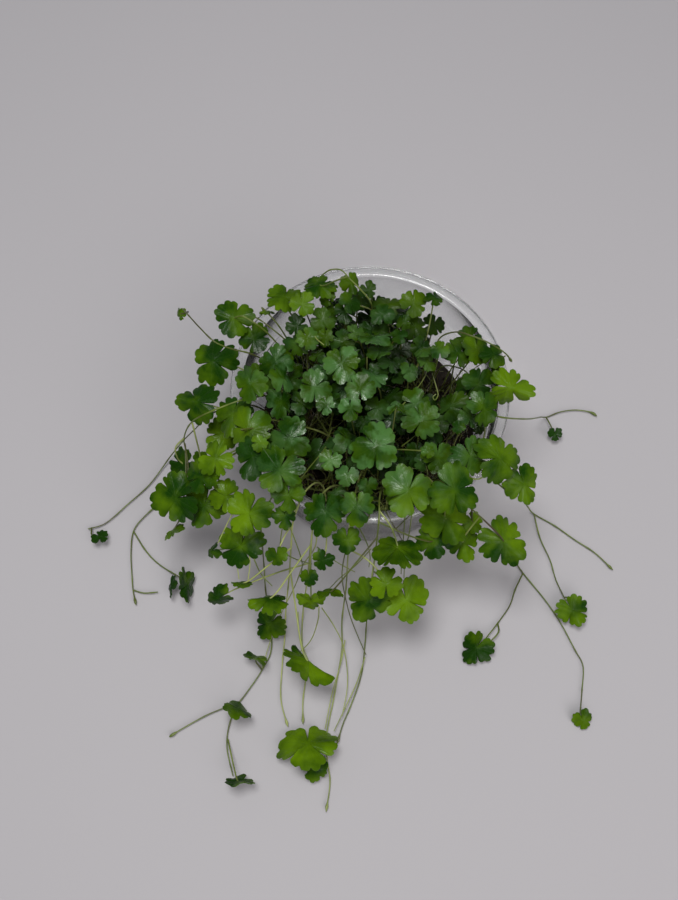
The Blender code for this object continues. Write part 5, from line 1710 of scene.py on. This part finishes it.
class SoilSettings(bpy.types.PropertyGroup):
    """The layer of soil."""

    crumbs: IntProperty(name="Crumbs", description="Loose crumbs on the soil", default=520, min=0)
    crumb_size: length_property("Crumb size", "Width of a large crumb", 2.0)
    lump: length_property("Lumps", "Height of the soil's lumps", SOIL_LUMP)
    # The soil's colours are near-black, partly painted shade for the dark gaps below the leaves
    dark: colour_property("Dark", "Colour of the moist soil", (0.004, 0.003, 0.0025))
    pale: colour_property("Pale", "Colour of its drier crumbs", (0.018, 0.013, 0.009))


class LeafSettings(bpy.types.PropertyGroup):
    """The leaves' blades."""

    thickness: length_property("Thickness", "Thickness of a blade", 0.3)
    vein_relief: length_property("Vein relief", "How far the veins sink into a blade", 0.02)
    pucker: length_property("Puckers", "Height of a blade's small puckers", 0.19)
    scallop_depth: FloatProperty(name="Scallops", description="Depth of the edge's scallops",
                                 default=0.12, min=0.0, subtype="FACTOR")
    waviness: FloatProperty(name="Waviness", description="Height of a blade's waves by its radius",
                            default=0.10, min=0.0, subtype="FACTOR")
    roughness: FloatProperty(name="Roughness", description="Roughness of a blade", default=0.30,
                             min=0.0)
    shine: FloatProperty(name="Shine", description="Strength of a blade's gloss", default=0.06,
                         min=0.0)
    sheen: FloatProperty(name="Sheen", description="Strength of the waxy sheen in patches",
                         default=0.90, min=0.0, max=1.0, subtype="FACTOR")
    sheen_roughness: FloatProperty(
        name="Sheen roughness", description="Roughness of the waxy sheen", default=0.26, min=0.0)
    # The painted sheen: bluish-green patches painted round a centre, standing in for light
    # reflected on the leaves
    painted_sheen_centre: FloatVectorProperty(
        name="Bloom centre", description="Where the bluish leaves stand",
        default=(-0.004, -0.012, 0.068), subtype="TRANSLATION", unit="LENGTH")
    painted_sheen_reach: length_property("Bloom reach", "How far the bluish leaves reach", 50.0)
    painted_sheen: FloatProperty(name="Bloom", description="Strength of the bluish patches", default=0.46,
                         min=0.0, max=1.0, subtype="FACTOR")
    # Painted shade: how far, from what height and towards what green the leaves low in the jar are
    # darkened
    shade: FloatProperty(name="Shade", description="How much darker the leaves low in the jar are",
                         default=0.92, min=0.0, max=1.0, subtype="FACTOR")
    shade_top: length_property("Shade top", "Height at which the leaves begin to darken", 71.0)
    shade_drop: length_property("Shade drop", "Drop over which they darken", 24.0)
    shade_green: colour_property("Shade green", "Colour of the lowest leaves",
                                 (0.006, 0.020, 0.001))
    deep_green: colour_property("Deep green", "Colour of the old leaves", (0.008, 0.039, 0.001))
    # Lime green: partly the young leaves' own colour, partly a painted glow of light shining
    # through the blades
    lime_green: colour_property("Lime green", "Colour of the young leaves", (0.130, 0.240, 0.003))
    # The colour of the painted sheen, standing in for light reflected on the leaves
    painted_sheen_green: colour_property("Blue green", "Colour of the bluish patches", (0.110, 0.270, 0.080))
    vein_green: colour_property("Vein green", "Colour of the veins", (0.095, 0.200, 0.012))
    edge_green: colour_property("Edge green", "Colour of a blade's edge", (0.040, 0.075, 0.003))


class StemSettings(bpy.types.PropertyGroup):
    """The stems and the leaves' stalks."""

    trail_width: length_property("Trailing stem", "Width of a trailing stem", 0.68)
    runner_width: length_property("Creeping stem", "Width of a creeping stem", 1.2)
    stalk_width: length_property("Leaf stalk", "Width of a leaf's stalk", 0.62)
    shoot_width: length_property("Young shoot", "Width of a fine side stem or shoot", 0.5)
    brown: colour_property("Brown", "Colour of the darkest stems", (0.045, 0.030, 0.008))
    olive: colour_property("Olive", "Colour of most stems", (0.100, 0.140, 0.016))
    cream: colour_property("Cream", "Colour of the palest stems", (0.400, 0.450, 0.140))


class StageSettings(bpy.types.PropertyGroup):
    """The floor and the light."""

    floor_colour: colour_property("Floor", "Colour of the floor", (0.47, 0.45, 0.475))
    key_power: FloatProperty(name="Key light", description="Power of the large light", default=5.4,
                             min=0.0, subtype="POWER", unit="POWER")
    fill_power: FloatProperty(name="Fill light", description="Power of the far light", default=5.0,
                              min=0.0, subtype="POWER", unit="POWER")
    sky: FloatProperty(name="Room light", description="Strength of the light from all round",
                       default=0.22, min=0.0)


def add_area_light(name, place, size, power, colour):
    """Add a soft area light that faces the plant."""
    data = bpy.data.lights.new(name, "AREA")
    data.shape = "DISK"
    data.size = size
    data.energy = power
    data.color = colour
    light = bpy.data.objects.new(name, data)
    light.location = place
    sight = Vector(LIGHT_TARGET) - light.location
    light.rotation_euler = sight.to_track_quat("-Z", "Y").to_euler()
    bpy.context.scene.collection.objects.link(light)


def make_stage(stage):
    """Lay the floor, light it softly and set the camera where the layout is read from."""
    clear_selection()
    bpy.ops.mesh.primitive_plane_add(size=FLOOR_SIZE)
    floor = bpy.context.object
    floor.name = "pale_floor"
    floor.data.materials.append(pale_floor(stage))
    add_area_light("Key light", KEY_PLACE, KEY_SIZE, stage.key_power, KEY_COLOUR)
    add_area_light("Fill light", FILL_PLACE, FILL_SIZE, stage.fill_power, FILL_COLOUR)

    world = bpy.data.worlds.new("Soft room")
    world.use_nodes = True
    background = world.node_tree.nodes["Background"]
    background.inputs["Color"].default_value = ROOM_COLOUR
    background.inputs["Strength"].default_value = stage.sky
    bpy.context.scene.world = world

    data = bpy.data.cameras.new("Viewpoint")
    data.sensor_width = SENSOR
    data.lens = VIEW_FOCAL * SENSOR / PICTURE_HEIGHT
    data.clip_start = NEAREST_SEEN
    camera = bpy.data.objects.new("Viewpoint", data)
    camera.location = VIEW_FROM * MM
    camera.rotation_euler = (radians(90 - VIEW_DOWN), 0, 0)
    bpy.context.scene.collection.objects.link(camera)
    bpy.context.scene.camera = camera
    bpy.context.scene.view_settings.view_transform = "Standard"


def make_plant(trailing):
    """Make the pieces of all the trailing stems, or of all the creeping ones."""
    scene = bpy.context.scene
    leaf = leaf_finish("Trailing leaf" if trailing else "Canopy leaf", scene.jar_plant_leaves,
                       TRAILING_LIME if trailing else CANOPY_LIME, not trailing)
    stalk = stalk_finish(scene.jar_plant_stems)
    for seed, stem in enumerate(planned_stems(), start=1):
        if stem.name.startswith("creeping") == trailing:
            continue
        piece = make_plant_piece(stem, seed, scene.jar_plant_leaves, scene.jar_plant_stems, leaf,
                                 stalk)


@lru_cache
def planned_stems():
    """Return every stem of the plan, settled once."""
    return plan_plant()


@lru_cache
def planned_tangle():
    """Return the fine bare stems of the plan, grown once."""
    return grow_tangle(planned_stems())


class JARPLANT_OT_jar(bpy.types.Operator):
    """Make the clear jar with its rolled lip"""

    bl_idname = "jar_plant.add_jar"
    bl_label = "Clear Jar"

    def execute(self, context):
        make_jar(context.scene.jar_plant_jar)
        return {"FINISHED"}


class JARPLANT_OT_soil(bpy.types.Operator):
    """Make the crumbly dark soil"""

    bl_idname = "jar_plant.add_soil"
    bl_label = "Dark Soil"

    def execute(self, context):
        make_soil(context.scene.jar_plant_soil)
        return {"FINISHED"}


class JARPLANT_OT_creeping_stems(bpy.types.Operator):
    """Make the creeping stems on the soil with their stalks and leaves"""

    bl_idname = "jar_plant.add_creeping_stems"
    bl_label = "Creeping Stems"

    def execute(self, context):
        make_plant(trailing=False)
        return {"FINISHED"}


class JARPLANT_OT_trailing_stems(bpy.types.Operator):
    """Make the stems that arch up or trail over the lip, with their leaves"""

    bl_idname = "jar_plant.add_trailing_stems"
    bl_label = "Trailing Stems"

    def execute(self, context):
        make_plant(trailing=True)
        return {"FINISHED"}


class JARPLANT_OT_stage(bpy.types.Operator):
    """Lay the floor and set the light and the camera"""

    bl_idname = "jar_plant.add_stage"
    bl_label = "Floor, Light and Camera"

    def execute(self, context):
        make_stage(context.scene.jar_plant_stage)
        return {"FINISHED"}


SETTINGS = (("jar_plant_jar", JarSettings), ("jar_plant_soil", SoilSettings),
            ("jar_plant_leaves", LeafSettings), ("jar_plant_stems", StemSettings),
            ("jar_plant_stage", StageSettings))
OPERATORS = (JARPLANT_OT_jar, JARPLANT_OT_soil, JARPLANT_OT_creeping_stems,
             JARPLANT_OT_trailing_stems, JARPLANT_OT_stage)


class JARPLANT_PT_pieces(bpy.types.Panel):
    """The sidebar panel that lists the pieces"""

    bl_idname = "JARPLANT_PT_pieces"
    bl_label = "Jar Plant"
    bl_space_type = "VIEW_3D"
    bl_region_type = "UI"
    bl_category = "Jar Plant"

    def draw(self, context):
        for operator in OPERATORS:
            self.layout.operator(operator.bl_idname)
        for name, settings in SETTINGS:
            box = self.layout.box()
            box.label(text=settings.__doc__)
            for key in settings.__annotations__:
                box.prop(getattr(context.scene, name), key)


def register():
    """Register the settings, the operators and the panel."""
    for name, settings in SETTINGS:
        bpy.utils.register_class(settings)
        setattr(bpy.types.Scene, name, PointerProperty(type=settings))
    for operator in OPERATORS:
        bpy.utils.register_class(operator)
    bpy.utils.register_class(JARPLANT_PT_pieces)


def unregister():
    """Take the panel, the operators and the settings away again."""
    bpy.utils.unregister_class(JARPLANT_PT_pieces)
    for operator in reversed(OPERATORS):
        bpy.utils.unregister_class(operator)
    for name, settings in reversed(SETTINGS):
        delattr(bpy.types.Scene, name)
        bpy.utils.unregister_class(settings)


def main():
    """Build every piece in order."""
    register()
    bpy.ops.jar_plant.add_jar()
    bpy.ops.jar_plant.add_soil()
    bpy.ops.jar_plant.add_creeping_stems()
    bpy.ops.jar_plant.add_trailing_stems()
    bpy.ops.jar_plant.add_stage()
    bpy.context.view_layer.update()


if __name__ == "__main__":
    main()
